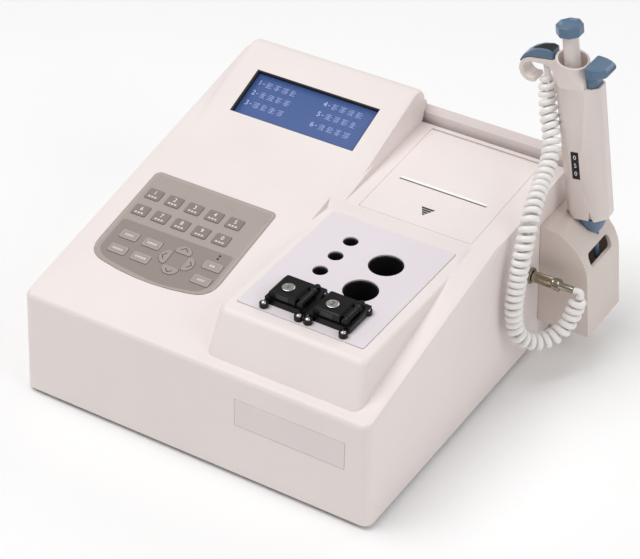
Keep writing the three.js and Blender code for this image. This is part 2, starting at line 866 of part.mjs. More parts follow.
function topCover() {
  let form = housingForm(0).subtract(housingForm(wall));
  const rimLeft = coverLeft - rimMargin;
  const rimRight = coverLeft + coverWidth + rimMargin;
  const rimEnd = coverStart + coverLength + rimMargin;
  const rim = box(rimLeft, rimRight, coverStart, rimEnd, -printerRim, -wall / 2);
  form = form.add(solid(within(platform, rim)));
  for (const [x, y] of postPlaces) {
    const skin = x > platformLeft ? Math.min(deckAt(y), platformRearHeight) : deckAt(y);
    form = form.add(solid(rod(x, y, panTop + gap, skin - wall / 2, postRadius, pinSides)));
  }
  const displayEnd = displayStart + displayHeight;
  const displayRight = displayLeft + displayWidth;
  const window = box(displayLeft, displayRight, displayStart, displayEnd, -wall - overrun, overrun);
  const pocket = slab(keypadShape(-gap), -overlayRecess, overrun, keypadCurve);
  const through = slab(keypadShape(keypadLedge), -wall - overrun, overrun, keypadCurve);
  const plateRight = plateLeft + plateWidth;
  const plateRear = plateFront + plateLength;
  const plateSeat = tablet(
    plateLeft - gap, plateRight + gap, plateFront - gap, plateRear + gap, -plateRecess, overrun, plateCorner);
  const plateHole = box(
    plateLeft + plateLedge, plateRight - plateLedge, plateFront + plateLedge, plateRear - plateLedge,
    -wall - overrun, overrun);
  const coverRight = coverLeft + coverWidth;
  const coverEnd = coverStart + coverLength;
  const coverSeat = tablet(
    coverLeft - gap, coverRight + gap, coverStart - gap, coverEnd + gap,
    -coverThickness - gap, overrun, coverCorner);
  const bay = box(
    coverLeft + bayLedge, coverRight - bayLedge, coverStart + bayLedge, coverEnd - bayLedge,
    -printerRim - overrun, overrun);
  const hingeTrough = box(
    coverLeft - gap, coverRight + gap, coverEnd - hingeInset - hingeRadius - gap, coverEnd + gap,
    -2 * hingeRadius - gap, overrun);
  const stubReach = stubLength + gap;
  const bearing = rodAlongX(
    coverLeft - stubReach - gap, coverRight + stubReach + gap, coverEnd - hingeInset, -hingeRadius,
    stubRadius + stubPlay, pinSides);
  const badgeSeat = box(
    badgeLeft - gap, badgeLeft + badgeWidth + gap, badgeBottom - gap, badgeBottom + badgeHeight + gap,
    -badgeRecess, overrun);
  const jackHole = rodAlongX(
    bodyWidth - leanAt(jackHeight) - wall - overrun, bodyWidth + overrun,
    jackAlong, jackHeight, jackRadius + gap);
  const panelHole = box(
    panelLeft, panelLeft + panelWidth, bodyDepth - leanAt(panelBottom) - wall - overrun, bodyDepth + overrun,
    panelBottom, panelBottom + panelHeight);
  return less(
    form, within(hood, window), within(deck, pocket), within(deck, through), within(blockTop, plateSeat),
    within(blockTop, plateHole), within(platform, coverSeat), within(platform, bay),
    within(platform, hingeTrough), within(platform, bearing), within(frontWall, badgeSeat),
    jackHole, panelHole);
}

function basePan() {
  const inset = wall + panPlay;
  const ring = [];
  for (const [sideX, sideY] of cornerTurns) {
    const x = bodyWidth / 2 + sideX * (bodyWidth / 2 - inset);
    const y = bodyDepth / 2 + sideY * (bodyDepth / 2 - inset);
    ring.push([x, y]);
  }
  const low = leanAt(panTop);
  const plate = tablet(
    ring[0][0] + low, ring[1][0] - low, ring[0][1] + low, ring[2][1] - low, panBottom, panTop, bodyCorner);
  const posts = [];
  for (const x of [mainBoardLeft + standoffInset, mainBoardLeft + mainBoardWidth - standoffInset]) {
    for (const y of [mainBoardFront + standoffInset, mainBoardFront + mainBoardLength - standoffInset]) {
      posts.push(rod(x, y, panTop - panThickness / 2, panTop + standoffHeight, standoffRadius, pinSides));
    }
  }
  return joined(plate, ...posts);
}

function foot() {
  const top = panBottom - gap;
  return turned([[0, 0], [footRadius - footTaper, 0], [footRadius, footTaper], [footRadius, top], [0, top]]);
}

// Rear panel, on the inside of the rear wall
const panelOuter = bodyDepth - leanAt(panelBottom + panelHeight) - wall - gap;
const panelMiddle = panelBottom + panelHeight / 2;

function rearPanel() {
  const plate = box(
    panelLeft - panelLap, panelLeft + panelWidth + panelLap, panelOuter - panelThickness, panelOuter,
    panelBottom - panelLap, panelBottom + panelHeight + panelLap);
  const cutters = [];
  const opening = (across, width, height) => {
    const x = panelLeft + across;
    return box(
      x - width / 2 - gap, x + width / 2 + gap, panelOuter - panelThickness - overrun, panelOuter + overrun,
      panelMiddle - height / 2 - gap, panelMiddle + height / 2 + gap);
  };
  cutters.push(opening(inletAcross, inletWidth, inletHeight));
  cutters.push(opening(switchAcross, switchWidth + 2 * switchPlay, switchHeight + 2 * switchPlay));
  cutters.push(opening(portAcross, portWidth, portHeight));
  for (let index = 0; index < ventCount; index++) {
    cutters.push(opening(ventAcross + index * ventPitch, ventWidth, ventHeight));
  }
  return less(solid(plate), ...cutters);
}

function powerInlet() {
  const x = panelLeft + inletAcross;
  const face = panelOuter + gap + inletFlange;
  const shell = box(
    x - inletWidth / 2, x + inletWidth / 2, panelOuter - inletDepth, face,
    panelMiddle - inletHeight / 2, panelMiddle + inletHeight / 2);
  const flange = box(
    x - inletWidth / 2 - inletFlangeMargin, x + inletWidth / 2 + inletFlangeMargin, panelOuter + gap, face,
    panelMiddle - inletHeight / 2 - inletFlangeMargin, panelMiddle + inletHeight / 2 + inletFlangeMargin);
  const hollow = box(
    x - inletWidth / 2 + inletWall, x + inletWidth / 2 - inletWall, face - inletHollow, face + overrun,
    panelMiddle - inletHeight / 2 + inletWall, panelMiddle + inletHeight / 2 - inletWall);
  let form = less(joined(shell, flange), hollow);
  for (const step of [-1, 0, 1]) {
    const left = x + step * bladePitch - bladeWidth / 2;
    const low = panelMiddle - bladeHeight / 2 + (step === 0 ? bladeRise : -bladeRise);
    const root = face - inletHollow;
    const blade = box(left, left + bladeWidth, root - bladeWidth, root + bladeLength, low, low + bladeHeight);
    form = form.add(solid(blade));
  }
  return form;
}

// Rocker: two faces that meet in a shallow valley, on a curved belly
function powerSwitch() {
  const x = panelLeft + switchAcross;
  const half = switchHeight / 2;
  const face = panelOuter + switchProud;
  const inner = panelOuter - switchDepth;
  const profile = [
    [inner, -half / 2],
    [panelOuter, -half],
    [face + switchProud, -half],
    [face, 0],
    [face, half],
    [panelOuter, half],
    [inner, half / 2],
  ];
  const rocker = slabAlongX(profile, x - switchWidth / 2, x + switchWidth / 2);
  return rocker.translate(0, 0, panelMiddle);
}

function serialPort() {
  const x = panelLeft + portAcross;
  const face = panelOuter + gap + portFlange;
  const flange = box(
    x - portFlangeWidth / 2, x + portFlangeWidth / 2, panelOuter + gap, face,
    panelMiddle - portFlangeHeight / 2, panelMiddle + portFlangeHeight / 2);
  const shell = box(
    x - portWidth / 2, x + portWidth / 2, panelOuter - portDepth, face + portRise,
    panelMiddle - portHeight / 2, panelMiddle + portHeight / 2);
  return joined(flange, shell);
}

// Channel pieces, in a frame at the base's front left corner, on the plate
function channelBase() {
  const plate = tablet(0, channelWidth, 0, channelLength, 0, channelBaseHeight, lidChamfer);
  const pinZ = channelBaseHeight + pinRise;
  const parts = [plate];
  for (const x of [lugInset, channelWidth - lugInset]) {
    parts.push(rod(x, -lugReach, 0, lugHeight, lugRadius));
    parts.push(box(x - lugRadius / 2, x + lugRadius / 2, -lugReach, lugRadius, 0, lugHeight));
  }
  parts.push(rod(channelWidth - rearLugInset, channelLength - lugReach, 0, lugHeight, lugRadius));
  const earStarts = [knuckleStart - gap - earLength, knuckleStart + knuckleLength + gap];
  for (const y of earStarts) {
    parts.push(rodAlongY(pinAcross, y, y + earLength, pinZ, knuckleRadius, smallSides));
    parts.push(box(pinAcross - knuckleRadius, pinAcross + knuckleRadius, y, y + earLength, 0, pinZ));
  }
  parts.push(rodAlongY(
    pinAcross, earStarts[0] + gap, earStarts[1] + earLength - gap, pinZ, pinRadius, pinSides));
  const seat = rod(cuvetteAcross, cuvetteAlong, -overrun, channelBaseHeight + overrun, cuvetteRadius);
  return less(joined(...parts), seat);
}

function channelLid() {
  const low = channelBaseHeight + gap;
  const top = low + lidThickness;
  const right = lidAcross + lidWidth;
  const rear = lidAlong + lidLength;
  const points = [];
  for (const [z, pulled] of [[low, 0], [top - lidChamfer, 0], [top, lidChamfer]]) {
    for (const x of [lidAcross + pulled, right - pulled]) {
      for (const y of [lidAlong + pulled, rear - pulled]) {
        points.push([x, y, z]);
      }
    }
  }
  const pinZ = channelBaseHeight + pinRise;
  const knuckleEnd = knuckleStart + knuckleLength;
  const armLow = pinZ - lidArmThickness / 2;
  const arm = box(right - lidChamfer, pinAcross, knuckleStart, knuckleEnd, armLow, armLow + lidArmThickness);
  const knuckle = rodAlongY(pinAcross, knuckleStart, knuckleEnd, pinZ, knuckleRadius, smallSides);
  const disc = rod(cuvetteAcross, cuvetteAlong, top - lidChamfer, top + discRise, discRadius);
  const bore = rodAlongY(
    pinAcross, knuckleStart - overrun, knuckleEnd + overrun, pinZ, pinRadius + pinPlay, pinSides);
  return less(joined(hull(points), arm, knuckle, disc), bore);
}

function wellPlate() {
  const low = gap - plateRecess;
  const plate = tablet(
    plateLeft, plateLeft + plateWidth, plateFront, plateFront + plateLength,
    low, low + plateThickness, plateCorner);
  const holes = wells.map(([x, y, radius, sides]) => rod(x, y, low - overrun, low + overrun, radius, sides));
  return less(solid(plate), ...holes);
}

function heatingBlock() {
  const left = plateLeft + plateLedge + gap;
  const right = plateLeft + plateWidth - plateLedge - gap;
  const front = plateFront + plateLedge + gap;
  const rear = plateFront + plateLength - plateLedge - gap;
  const block = box(left, right, front, rear, -heaterDepth, -plateRecess);
  const bores = wells.map(([x, y, radius, sides]) => {
    return rod(x, y, -wellDepth, overrun, radius - bushRun, sides / 2);
  });
  return less(solid(block), ...bores);
}

// Printer pieces, in the platform frame
const coverEnd = coverStart + coverLength;
const hingeAlong = coverEnd - hingeInset;
const slotLeft = coverLeft + slotAcross;

function printerCover() {
  const right = coverLeft + coverWidth;
  const plate = tablet(coverLeft, right, coverStart, hingeAlong, -coverThickness, 0, coverCorner);
  const rearStrip = box(coverLeft, right, hingeAlong - 3 * hingeRadius, hingeAlong, -coverThickness, 0);
  const barrel = rodAlongX(coverLeft, right, hingeAlong, -hingeRadius, hingeRadius, smallSides);
  const stubs = rodAlongX(
    coverLeft - stubLength, right + stubLength, hingeAlong, -hingeRadius, stubRadius, pinSides);
  const slot = box(
    slotLeft, slotLeft + slotWidth, slotAlong, slotAlong + slotOpening, -coverThickness - overrun, overrun);
  return less(joined(plate, rearStrip, barrel, stubs), slot);
}

const trayLeft = coverLeft - trayMargin;
const trayRight = coverLeft + coverWidth + trayMargin;
const trayFront = coverStart + trayMargin;
const trayRear = coverEnd - trayMargin;
const trayTop = -printerRim - gap;
const trayBottom = trayTop - trayDepth;
const rollerLeft = slotLeft + (slotWidth - rollerLength) / 2;
const rollerRight = rollerLeft + rollerLength;

function printerFrame() {
  const outer = box(trayLeft, trayRight, trayFront, trayRear, trayBottom, trayTop);
  const inner = box(
    trayLeft + trayWall, trayRight - trayWall, trayFront + trayWall, trayRear - trayWall,
    trayBottom + trayWall, trayTop + overrun);
  let form = less(solid(outer), inner);
  const cheekTop = -rollerDepth + shaftRadius + shaftPlay + cheekThickness;
  for (const x of [rollerLeft - cheekPlay - cheekThickness, rollerRight + cheekPlay]) {
    const cheekEnd = cheekStart + cheekLength;
    const cheek = box(x, x + cheekThickness, cheekStart, cheekEnd, trayBottom + trayWall / 2, cheekTop);
    form = form.add(solid(cheek));
  }
  const headTop = -headDepth;
  const head = box(
    rollerLeft - cheekPlay - cheekThickness / 2, rollerRight + cheekPlay + cheekThickness / 2, cheekStart,
    cheekStart + headLength, headTop - headHeight, headTop);
  form = form.add(solid(head));
  const bearing = rodAlongX(
    rollerLeft - cheekPlay - cheekThickness - gap, rollerRight + cheekPlay + cheekThickness + gap,
    rollerAlong, -rollerDepth, shaftRadius + shaftPlay, smallSides);
  return less(form, bearing);
}

function platenRoller() {
  const reach = cheekPlay + shaftLength;
  const shaft = rodAlongX(
    rollerLeft - reach, rollerRight + reach, rollerAlong, -rollerDepth, shaftRadius, smallSides);
  const rubberSleeve = rodAlongX(rollerLeft, rollerRight, rollerAlong, -rollerDepth, rollerRadius);
  return joined(shaft, rubberSleeve);
}

const rollDepth = -trayBottom - trayWall - gap - rollRadius;

function paperRoll() {
  const roll = rodAlongX(rollerLeft, rollerRight, rollAlong, -rollDepth, rollRadius, largeSides);
  const core = rodAlongX(
    rollerLeft - overrun, rollerRight + overrun, rollAlong, -rollDepth, rollCore, smallSides);
  return less(solid(roll), core);
}

// Paper: off the bottom of the roll, up past the front of the platen and into the slot
function paperStrip() {
  const exit = slotAlong + slotOpening / 2 - paperThickness;
  const reach = rollRadius + 2 * gap;
  const line = [
    [rollAlong - leaveAcrossShare * reach, -rollDepth - leaveDownShare * reach],
    [rollerAlong + rollerRadius, -rollerDepth - 4 * rollerRadius],
    [exit, -rollerDepth - 2 * rollerRadius],
    [exit, -paperTuck],
  ];
  const offset = line.map(([along, up]) => [along + paperThickness, up]);
  return slabAlongX([...line, ...offset.reverse()], rollerLeft, rollerRight);
}

// Holder outline in XZ, pulled in by a margin
function holderProfile(margin) {
  const root = bodyWidth - leanAt(holderTopHeight) + gap;
  const reach = holderReachTop - root;
  const drop = holderTopHeight - holderShoulder;
  const points = [[bodyWidth - leanAt(holderBottom) + gap, holderBottom + margin]];
  points.push([holderReachFoot - margin, holderBottom + margin]);
  points.push([holderReachTop - margin, holderShoulder]);
  const count = holderCurveAcrossShares.length;
  for (let index = count - 1; index >= 0; index--) {
    const across = root + holderCurveAcrossShares[index] * reach;
    const up = holderTopHeight - holderCurveDownShares[index] * drop;
    const tilt = ((count - index) / (count + 1)) * (Math.PI / 2);
    points.push([across - margin * Math.cos(tilt), up - margin * Math.sin(tilt)]);
  }
  points.push([root, holderTopHeight - margin]);
  return points;
}

function pipetteHolder() {
  const rear = holderFront + holderLength;
  const outer = slabAlongY(holderProfile(0), holderFront, rear);
  const inner = slabAlongY(holderProfile(holderWall), holderFront + holderWall, rear - holderWall);
  let form = less(solid(outer), inner);
  const collar = within(pipette, rod(0, 0, 2 * noseNeck, gripBottom, noseTopRadius + socketPlay, fineSides));
  form = form.add(solid(collar).intersect(solid(outer)));
  const windowEnd = windowStart + windowLength;
  const slotOutline = tablet(
    windowLow, windowHigh, holderFront + windowStart, holderFront + windowEnd,
    -holderReachFoot - overrun, -pipetteX, windowCorner);
  const slot = slotOutline.rotateY(-Math.PI / 2);
  const throat = within(pipette, noseForm(socketPlay, overrun));
  const seatRings = [...gripRing(gripBottom - gap, gripSeatShare), ...gripRing(gripTop, gripSeatShare)];
  const seat = within(pipette, hull(seatRings));
  return less(form, slot, throat, seat);
}

// Side socket and plug, along X at the socket height
const jackWall = bodyWidth - leanAt(jackHeight);

function turnedAlongX(profile, x, sides) {
  return turned(profile, 0, 0, sides).rotateY(Math.PI / 2).translate(x, jackAlong, jackHeight);
}

function jackSocket() {
  const face = jackNutThickness + gap;
  return turnedAlongX([
    [0, -jackDepth], [jackRadius, -jackDepth], [jackRadius, gap], [jackNutRadius, gap],
    [jackNutRadius, face - gap], [jackNutRadius - gap, face], [jackBore, face],
    [jackBore, -jackDepth / 2], [0, -jackDepth / 2],
  ], jackWall, roundSides);
}

const plugStart = jackWall + jackNutThickness + 2 * gap;

function jackPlug() {
  const barrelEnd = plugBarrelLength;
  const nutEnd = barrelEnd + plugNutLength;
  const sleeveEnd = nutEnd + plugSleeveLength;
  return turnedAlongX([
    [0, -jackDepth / 2], [jackBore - gap, -jackDepth / 2], [jackBore - gap, 0], [plugBarrelRadius, 0],
    [plugBarrelRadius, barrelEnd], [plugNutRadius, barrelEnd], [plugNutRadius, nutEnd],
    [plugSleeveRadius, nutEnd], [plugSleeveRadius, sleeveEnd], [0, sleeveEnd],
  ], plugStart, roundSides);
}

// Pipette sections: an oblong octagon across the axis at a height
function gripRing(z, share) {
  const halfX = (gripWidth / 2) * share;
  const halfY = (gripDepth / 2) * share;
  const cut = gripDepth * gripChamferShare * share;
  const points = [];
  for (const [sx, sy] of [[-1, -1], [1, -1], [1, 1], [-1, 1]]) {
    points.push([gripAcross + sx * halfX, sy * (halfY - cut), z]);
    points.push([gripAcross + sx * (halfX - cut), sy * halfY, z]);
  }
  return points;
}

// Points on an arc in the pipette's XZ plane round the centre of the hook's ring
function hookArc(radius, from, to, steps) {
  const points = [];
  for (let step = 0; step <= steps; step++) {
    const angle = THREE.MathUtils.degToRad(from + ((to - from) * step) / steps);
    points.push([hookAcross + radius * Math.cos(angle), hookHeight + radius * Math.sin(angle)]);
  }
  return points;
}

// Finger hook: a rail from the collar to a ring that curls under
function hookProfile() {
  const root = collarAcross - mouthRadius + hookLap;
  const railTop = hookHeight + hookRing;
  return [
    [root, railTop],
    ...hookArc(hookRing, hookTurnStart, hookTurnEnd, hookTurnSteps),
    ...hookArc(hookHole, hookTurnEnd, hookTurnStart, hookTurnSteps),
    ...hookUnderside,
    [gripAcross - gripWidth / 2, hookFoot],
    [root, hookFoot],
  ];
}

// Inlay: a domed cap that lies on the rail and the top of the ring
function inlayProfile() {
  const under = hookArc(hookRing + gap, hookTurnStart, inlayTurnEnd, 4);
  return [[inlayStart, hookHeight + hookRing + gap], ...under, ...inlayCrown];
}

// Collar: a cylinder whose top edge slopes down to the front and to the right
function collarForm() {
  const points = [];
  for (let step = 0; step < fineSides; step++) {
    const angle = (step / fineSides) * 2 * Math.PI;
    const x = collarRadius * Math.cos(angle);
    const y = collarRadius * Math.sin(angle);
    points.push([collarAcross + x, y, gripTop - overrun]);
    points.push([collarAcross + x, y, collarTop + collarRiseAcrossShare * x + collarRiseAlongShare * y]);
  }
  return hull(points);
}

// Shoulder: blends the left and the front of the grip into the collar, and stops short of the ejector
function shoulderForm() {
  const reach = ejectorInner - 2 * gap;
  const points = [];
  for (const [x, y, z] of gripRing(gripTop - gap, 1)) {
    points.push([Math.min(x, reach), y, z]);
  }
  for (let step = 0; step < fineSides; step++) {
    const angle = (step / fineSides) * 2 * Math.PI;
    const x = collarAcross + collarRadius * Math.cos(angle);
    points.push([x, collarRadius * Math.sin(angle), gripTop + gripShoulder]);
  }
  return hull(points);
}

// Notch at the foot of the grip's front: a three-cornered groove that narrows upwards
function gripNotch() {
  const points = [];
  for (const y of [-gripDepth, notchDepth - (gripDepth * gripFootShare) / 2]) {
    points.push([notchAcross - notchWidth / 2, y, gripBottom - overrun]);
    points.push([notchAcross + notchWidth / 2, y, gripBottom - overrun]);
    points.push([notchAcross, y, gripBottom + notchHeight]);
  }
  return hull(points);
}

// Ejector stem section grown by a margin: an oblong with its two outer corners cut
function stemForm(margin, low, high) {
  const half = ejectorStemWidth / 2 + margin;
  const inner = ejectorInner - margin;
  const outer = ejectorOuter + margin;
  const points = [];
  for (const z of [low, high]) {
    for (const side of [-1, 1]) {
      points.push([inner, side * half, z], [outer - ejectorStemCut, side * half, z]);
      points.push([outer, side * (half - ejectorStemCut), z]);
    }
  }
  return hull(points);
}

function pipetteBody() {
  const grip = hull([
    ...gripRing(gripBottom, gripToeShare), ...gripRing(gripBottom + gripToe, gripFootShare),
    ...gripRing(gripTop, 1)]);
  const hook = slabAlongY(hookProfile(), -hookWidth / 2, hookWidth / 2);
  const gland = rod(glandAcross, 0, glandLow, hookHeight + hookHole + gap, glandRadius, smallSides);
  const form = joined(grip, shoulderForm(), collarForm(), hook, gland);
  const mouth = rod(collarAcross, 0, mouthFloor, collarTop + overrun, mouthRadius, fineSides);
  const guideLow = plungerLow - plungerTravel - gap;
  const guide = rod(plungerAcross, 0, guideLow, collarTop, plungerRadius + gap, fineSides);
  const stemRoom = stemForm(gap, ejectorLow - ejectorTravel - gap, gripTop + overrun);
  const counterSeat = box(
    counterAcross - counterWidth / 2 - gap, counterAcross + counterWidth / 2 + gap,
    -gripDepth, -gripDepth / 2 + counterDepth + gap,
    gripBottom + counterLow - counterHeight / 2 - gap, gripBottom + counterLow + counterHeight / 2 + gap);
  return less(form, mouth, guide, stemRoom, counterSeat, gripNotch());
}

const knobFoot = plungerHigh - knobSeat;
const stepRadius = plungerRadius / 2;

function plunger() {
  return turned([
    [0, plungerLow], [plungerRadius, plungerLow], [plungerRadius, knobFoot - gap],
    [stepRadius, knobFoot - gap], [stepRadius, plungerHigh - gap], [0, plungerHigh - gap],
  ], plungerAcross, 0);
}

function plungerKnob() {
  const top = knobFoot + knobHeight;
  const bore = stepRadius + gap;
  const knob = turned([
    [bore, knobFoot], [knobRadius - knobBevel, knobFoot], [knobRadius, knobFoot + knobBevel],
    [knobRadius, top - knobBevel], [knobRadius - knobBevel, top], [0, top], [0, plungerHigh],
    [bore, plungerHigh], [bore, knobFoot],
  ], 0, 0, knobSides);
  return knob.rotateZ(Math.PI / knobSides).translate(plungerAcross, 0, 0);
}

// Nose profile, grown by a margin and run on past its tip and top by a reach
function noseForm(margin, reach) {
  return turned([
    [0, noseTip - reach], [noseTipRadius + margin, noseTip - reach], [noseTipRadius + margin, noseTip],
    [noseNeckRadius + margin, noseNeck], [noseMiddleRadius + margin, noseMiddle],
    [noseTopRadius + margin, noseShoulder], [noseTopRadius + margin, noseTop + reach], [0, noseTop + reach],
  ], 0, 0, fineSides);
}

function ejector() {
  const low = ejectorHigh - ejectorPlate;
  const stem = stemForm(0, ejectorLow, low + ejectorTip);
  const points = [];
  for (const side of [-1, 1]) {
    const y = (side * ejectorWidth) / 2;
    const root = y * ejectorRootShare;
    const tip = y * ejectorTipShare;
    points.push([ejectorInner, root, low], [ejectorInner, root, ejectorHigh]);
    points.push([ejectorOuter, y, low], [ejectorOuter, y, ejectorHigh - ejectorTip / 2]);
    points.push([ejectorReach, tip, low + ejectorTip], [ejectorReach, tip, low + 2 * ejectorTip]);
    points.push([ejectorReach - ejectorTip, tip, low]);
    points.push([ejectorReach - ejectorTip, tip, ejectorHigh - ejectorTip / 2]);
  }
  return joined(stem, hull(points));
}

function counterWindow() {
  const face = -gripDepth / 2;
  return box(
    counterAcross - counterWidth / 2, counterAcross + counterWidth / 2, face + gap, face + counterDepth,
    gripBottom + counterLow - counterHeight / 2, gripBottom + counterLow + counterHeight / 2);
}

// Turns wound up to each step of the coiled run: fewer where the route bends, so the inner side stays open
function turnTable(route, length) {
  const step = (length - startLead - endLead) / turnSteps;
  const turns = [0];
  for (let index = 0; index < turnSteps; index++) {
    const from = route.getTangentAt((startLead + step * index) / length);
    const to = route.getTangentAt((startLead + step * (index + 1)) / length);
    turns.push(turns[index] + (step - curlRadius * from.angleTo(to)) / curlPitch);
  }
  return turns;
}

// Share of the route's length at which a share of all turns is wound
function placeOfTurn(turns, share, length) {
  const wanted = share * turns[turnSteps];
  let index = 0;
  while (index < turnSteps - 1 && turns[index + 1] < wanted) index++;
  const rest = (wanted - turns[index]) / (turns[index + 1] - turns[index]);
  return (startLead + ((length - startLead - endLead) * (index + rest)) / turnSteps) / length;
}

// Curly cord: one tube whose centre line winds round the route and runs straight at both ends
function curlyCord() {
  const start = new THREE.Vector3(glandAcross, 0, glandLow - gap).applyMatrix4(pipette.matrix);
  const startWay = new THREE.Vector3(0, 0, -1).transformDirection(pipette.matrix);
  const plugLength = plugBarrelLength + plugNutLength + plugSleeveLength;
  const end = new THREE.Vector3(plugStart + plugLength + gap, jackAlong, jackHeight);
  const endWay = new THREE.Vector3(-1, 0, 0);
  const startPoints = [start, start.clone().addScaledVector(startWay, cordStraight)];
  const endPoints = [end.clone().addScaledVector(endWay, -cordStraight), end];
  const inner = cordRoute.map(([out, back, up]) => new THREE.Vector3(bodyWidth + out, bodyDepth + back, up));
  const route = new THREE.CatmullRomCurve3([...startPoints, ...inner, ...endPoints], false, 'centripetal');
  route.arcLengthDivisions = 2000;
  const length = route.getLength();
  const turns = turnTable(route, length);
  const curls = Math.round(turns[turnSteps]);
  const ringCount = curls * curlSteps;
  const centres = [];
  for (let index = 0; index < leadSteps; index++) {
    centres.push(route.getPointAt(((startLead / length) * index) / leadSteps));
  }
  let normal = new THREE.Vector3(0, 1, 0);
  for (let index = 0; index <= ringCount; index++) {
    const place = placeOfTurn(turns, index / ringCount, length);
    const way = route.getTangentAt(place);
    normal = normal.clone().addScaledVector(way, -normal.dot(way)).normalize();
    const side = way.clone().cross(normal);
    const turn = (index / curlSteps) * 2 * Math.PI;
    const nearStart = Math.min(index / curlSteps / startRamp, 1);
    const nearEnd = Math.min((ringCount - index) / curlSteps / endRamp, 1);
    const swell = Math.sin((Math.min(nearStart, nearEnd) * Math.PI) / 2);
    const offset = normal.clone().multiplyScalar(Math.cos(turn)).addScaledVector(side, Math.sin(turn));
    centres.push(route.getPointAt(place).addScaledVector(offset, curlRadius * swell));
  }
  for (let index = 1; index <= 2 * leadSteps; index++) {
    centres.push(route.getPointAt(1 - (endLead / length) * (1 - index / (2 * leadSteps))));
  }
  reportClearance(centres, length, curls);
  return tubeThrough(centres, startWay, endWay);
}

// Rings of points round a line of centres, closed at both ends
function tubeThrough(centres, startWay, endWay) {
  const positions = [];
  const indices = [];
  let normal = new THREE.Vector3(0, 1, 0);
  centres.forEach((at, index) => {
    const before = centres[Math.max(index - 1, 0)];
    const after = centres[Math.min(index + 1, centres.length - 1)];
    let way = after.clone().sub(before).normalize();
    if (index === 0) way = startWay.clone();
    if (index === centres.length - 1) way = endWay.clone();
    normal = normal.clone().addScaledVector(way, -normal.dot(way)).normalize();
    const side = way.clone().cross(normal);
    for (let step = 0; step < cordSides; step++) {
      const angle = (step / cordSides) * 2 * Math.PI;
      const point = at.clone().addScaledVector(normal, cordRadius * Math.cos(angle));
      point.addScaledVector(side, cordRadius * Math.sin(angle));
      positions.push(point.x, point.y, point.z);
    }
  });
  const rings = centres.length;
  for (let ring = 0; ring < rings - 1; ring++) {
    for (let step = 0; step < cordSides; step++) {
      const a = ring * cordSides + step;
      const b = ring * cordSides + ((step + 1) % cordSides);
      indices.push(a, b, b + cordSides, a, b + cordSides, a + cordSides);
    }
  }
  const last = (rings - 1) * cordSides;
  for (let step = 1; step < cordSides - 1; step++) {
    indices.push(0, step + 1, step);
    indices.push(last, last + step, last + step + 1);
  }
  const geometry = new THREE.BufferGeometry();
  geometry.setAttribute('position', new THREE.Float32BufferAttribute(positions, 3));
  geometry.setIndex(indices);
  return geometry;
}

// Least gap of the cord to itself, between places further apart along the cord than its own bend
function reportClearance(centres, length, curls) {
  const along = [0];
  for (let index = 1; index < centres.length; index++) {
    along.push(along[index - 1] + centres[index].distanceTo(centres[index - 1]));
  }
  let least = Infinity;
  for (let a = 0; a < centres.length - 1; a++) {
    for (let b = a + 2; b < centres.length - 1; b++) {
      if (along[b] - along[a + 1] < selfReach) continue;
      least = Math.min(least, segmentDistance(centres[a], centres[a + 1], centres[b], centres[b + 1]));
    }
  }
  const clear = least - 2 * cordRadius;
  const state = clear > clearLimit ? 'clear' : 'too close';
  const wire = along[along.length - 1];
  console.log(`cord route ${length.toFixed(1)} mm, ${curls} curls, wire ${wire.toFixed(0)} mm, `
    + `least gap ${clear.toFixed(2)} mm, ${state}`);
}

function segmentDistance(a0, a1, b0, b1) {
  let least = Infinity;
  for (let i = 0; i <= 4; i++) {
    const p = a0.clone().lerp(a1, i / 4);
    const q = new THREE.Line3(b0, b1).closestPointToPoint(p, true, new THREE.Vector3());
    least = Math.min(least, p.distanceTo(q));
  }
  return least;
}

// Assembly: housing and base
piece('top_cover', topCover(), casingPlastic);
piece('base_pan', basePan(), sheetSteel);
const footPlaces = [
  ['front_left', footInset, footInset],
  ['front_right', bodyWidth - footInset, footInset],
  ['rear_left', footInset, bodyDepth - footInset],
  ['rear_right', bodyWidth - footInset, bodyDepth - footInset],
];
for (const [name, x, y] of footPlaces) {
  piece(`foot_${name}`, foot().translate(x, y, 0), rubber);
}
const badgeLow = gap - badgeRecess;
piece('badge_plate', box(
  badgeLeft, badgeLeft + badgeWidth, badgeBottom, badgeBottom + badgeHeight,
  badgeLow, badgeLow + badgeThickness), platePlastic, frontWall);

// Assembly: display
const displayRight = displayLeft + displayWidth;
const displayEnd = displayStart + displayHeight;
const paneTop = -wall - gap;
const paneLow = paneTop - paneThickness;
piece('display_window', box(
  displayLeft - paneMargin, displayRight + paneMargin, displayStart - paneMargin, displayEnd + paneMargin,
  paneLow, paneTop), displayBlue, hood);

function displayModule() {
  const top = paneLow - gap;
  const shell = box(
    displayLeft - moduleMargin, displayRight + moduleMargin,
    displayStart - moduleMargin, displayEnd + moduleMargin, top - moduleDepth, top);
  const glass = box(
    displayLeft - glassMargin, displayRight + glassMargin,
    displayStart - glassMargin, displayEnd + glassMargin, top - bezelDepth, top + overrun);
  return less(solid(shell), glass);
}
piece('display_module', displayModule(), darkPlastic, hood);

// Assembly: keypad
const overlayLow = gap - overlayRecess;
const overlayTop = overlayLow + overlayThickness;
const boardTop = -wall - gap;

function keypadOverlay() {
  const sheet = slab(keypadShape(0), overlayLow, overlayTop, keypadCurve);
  const holes = keys.map((key) => keyBody(key, keyGap, overlayLow - overrun, overlayTop + overrun));
  return less(solid(sheet), ...holes);
}
piece('keypad_overlay', keypadOverlay(), keypadGrey, deck);
const keypadBoard = slab(keypadShape(keypadLedge / 2), boardTop - boardThickness, boardTop, keypadCurve);
piece('keypad_board', keypadBoard, boardGreen, deck);
for (const key of keys) {
  piece(key.name, keyBody(key, 0, boardTop + keyRestGap, overlayTop + keyRise), keyGrey, deck);
}

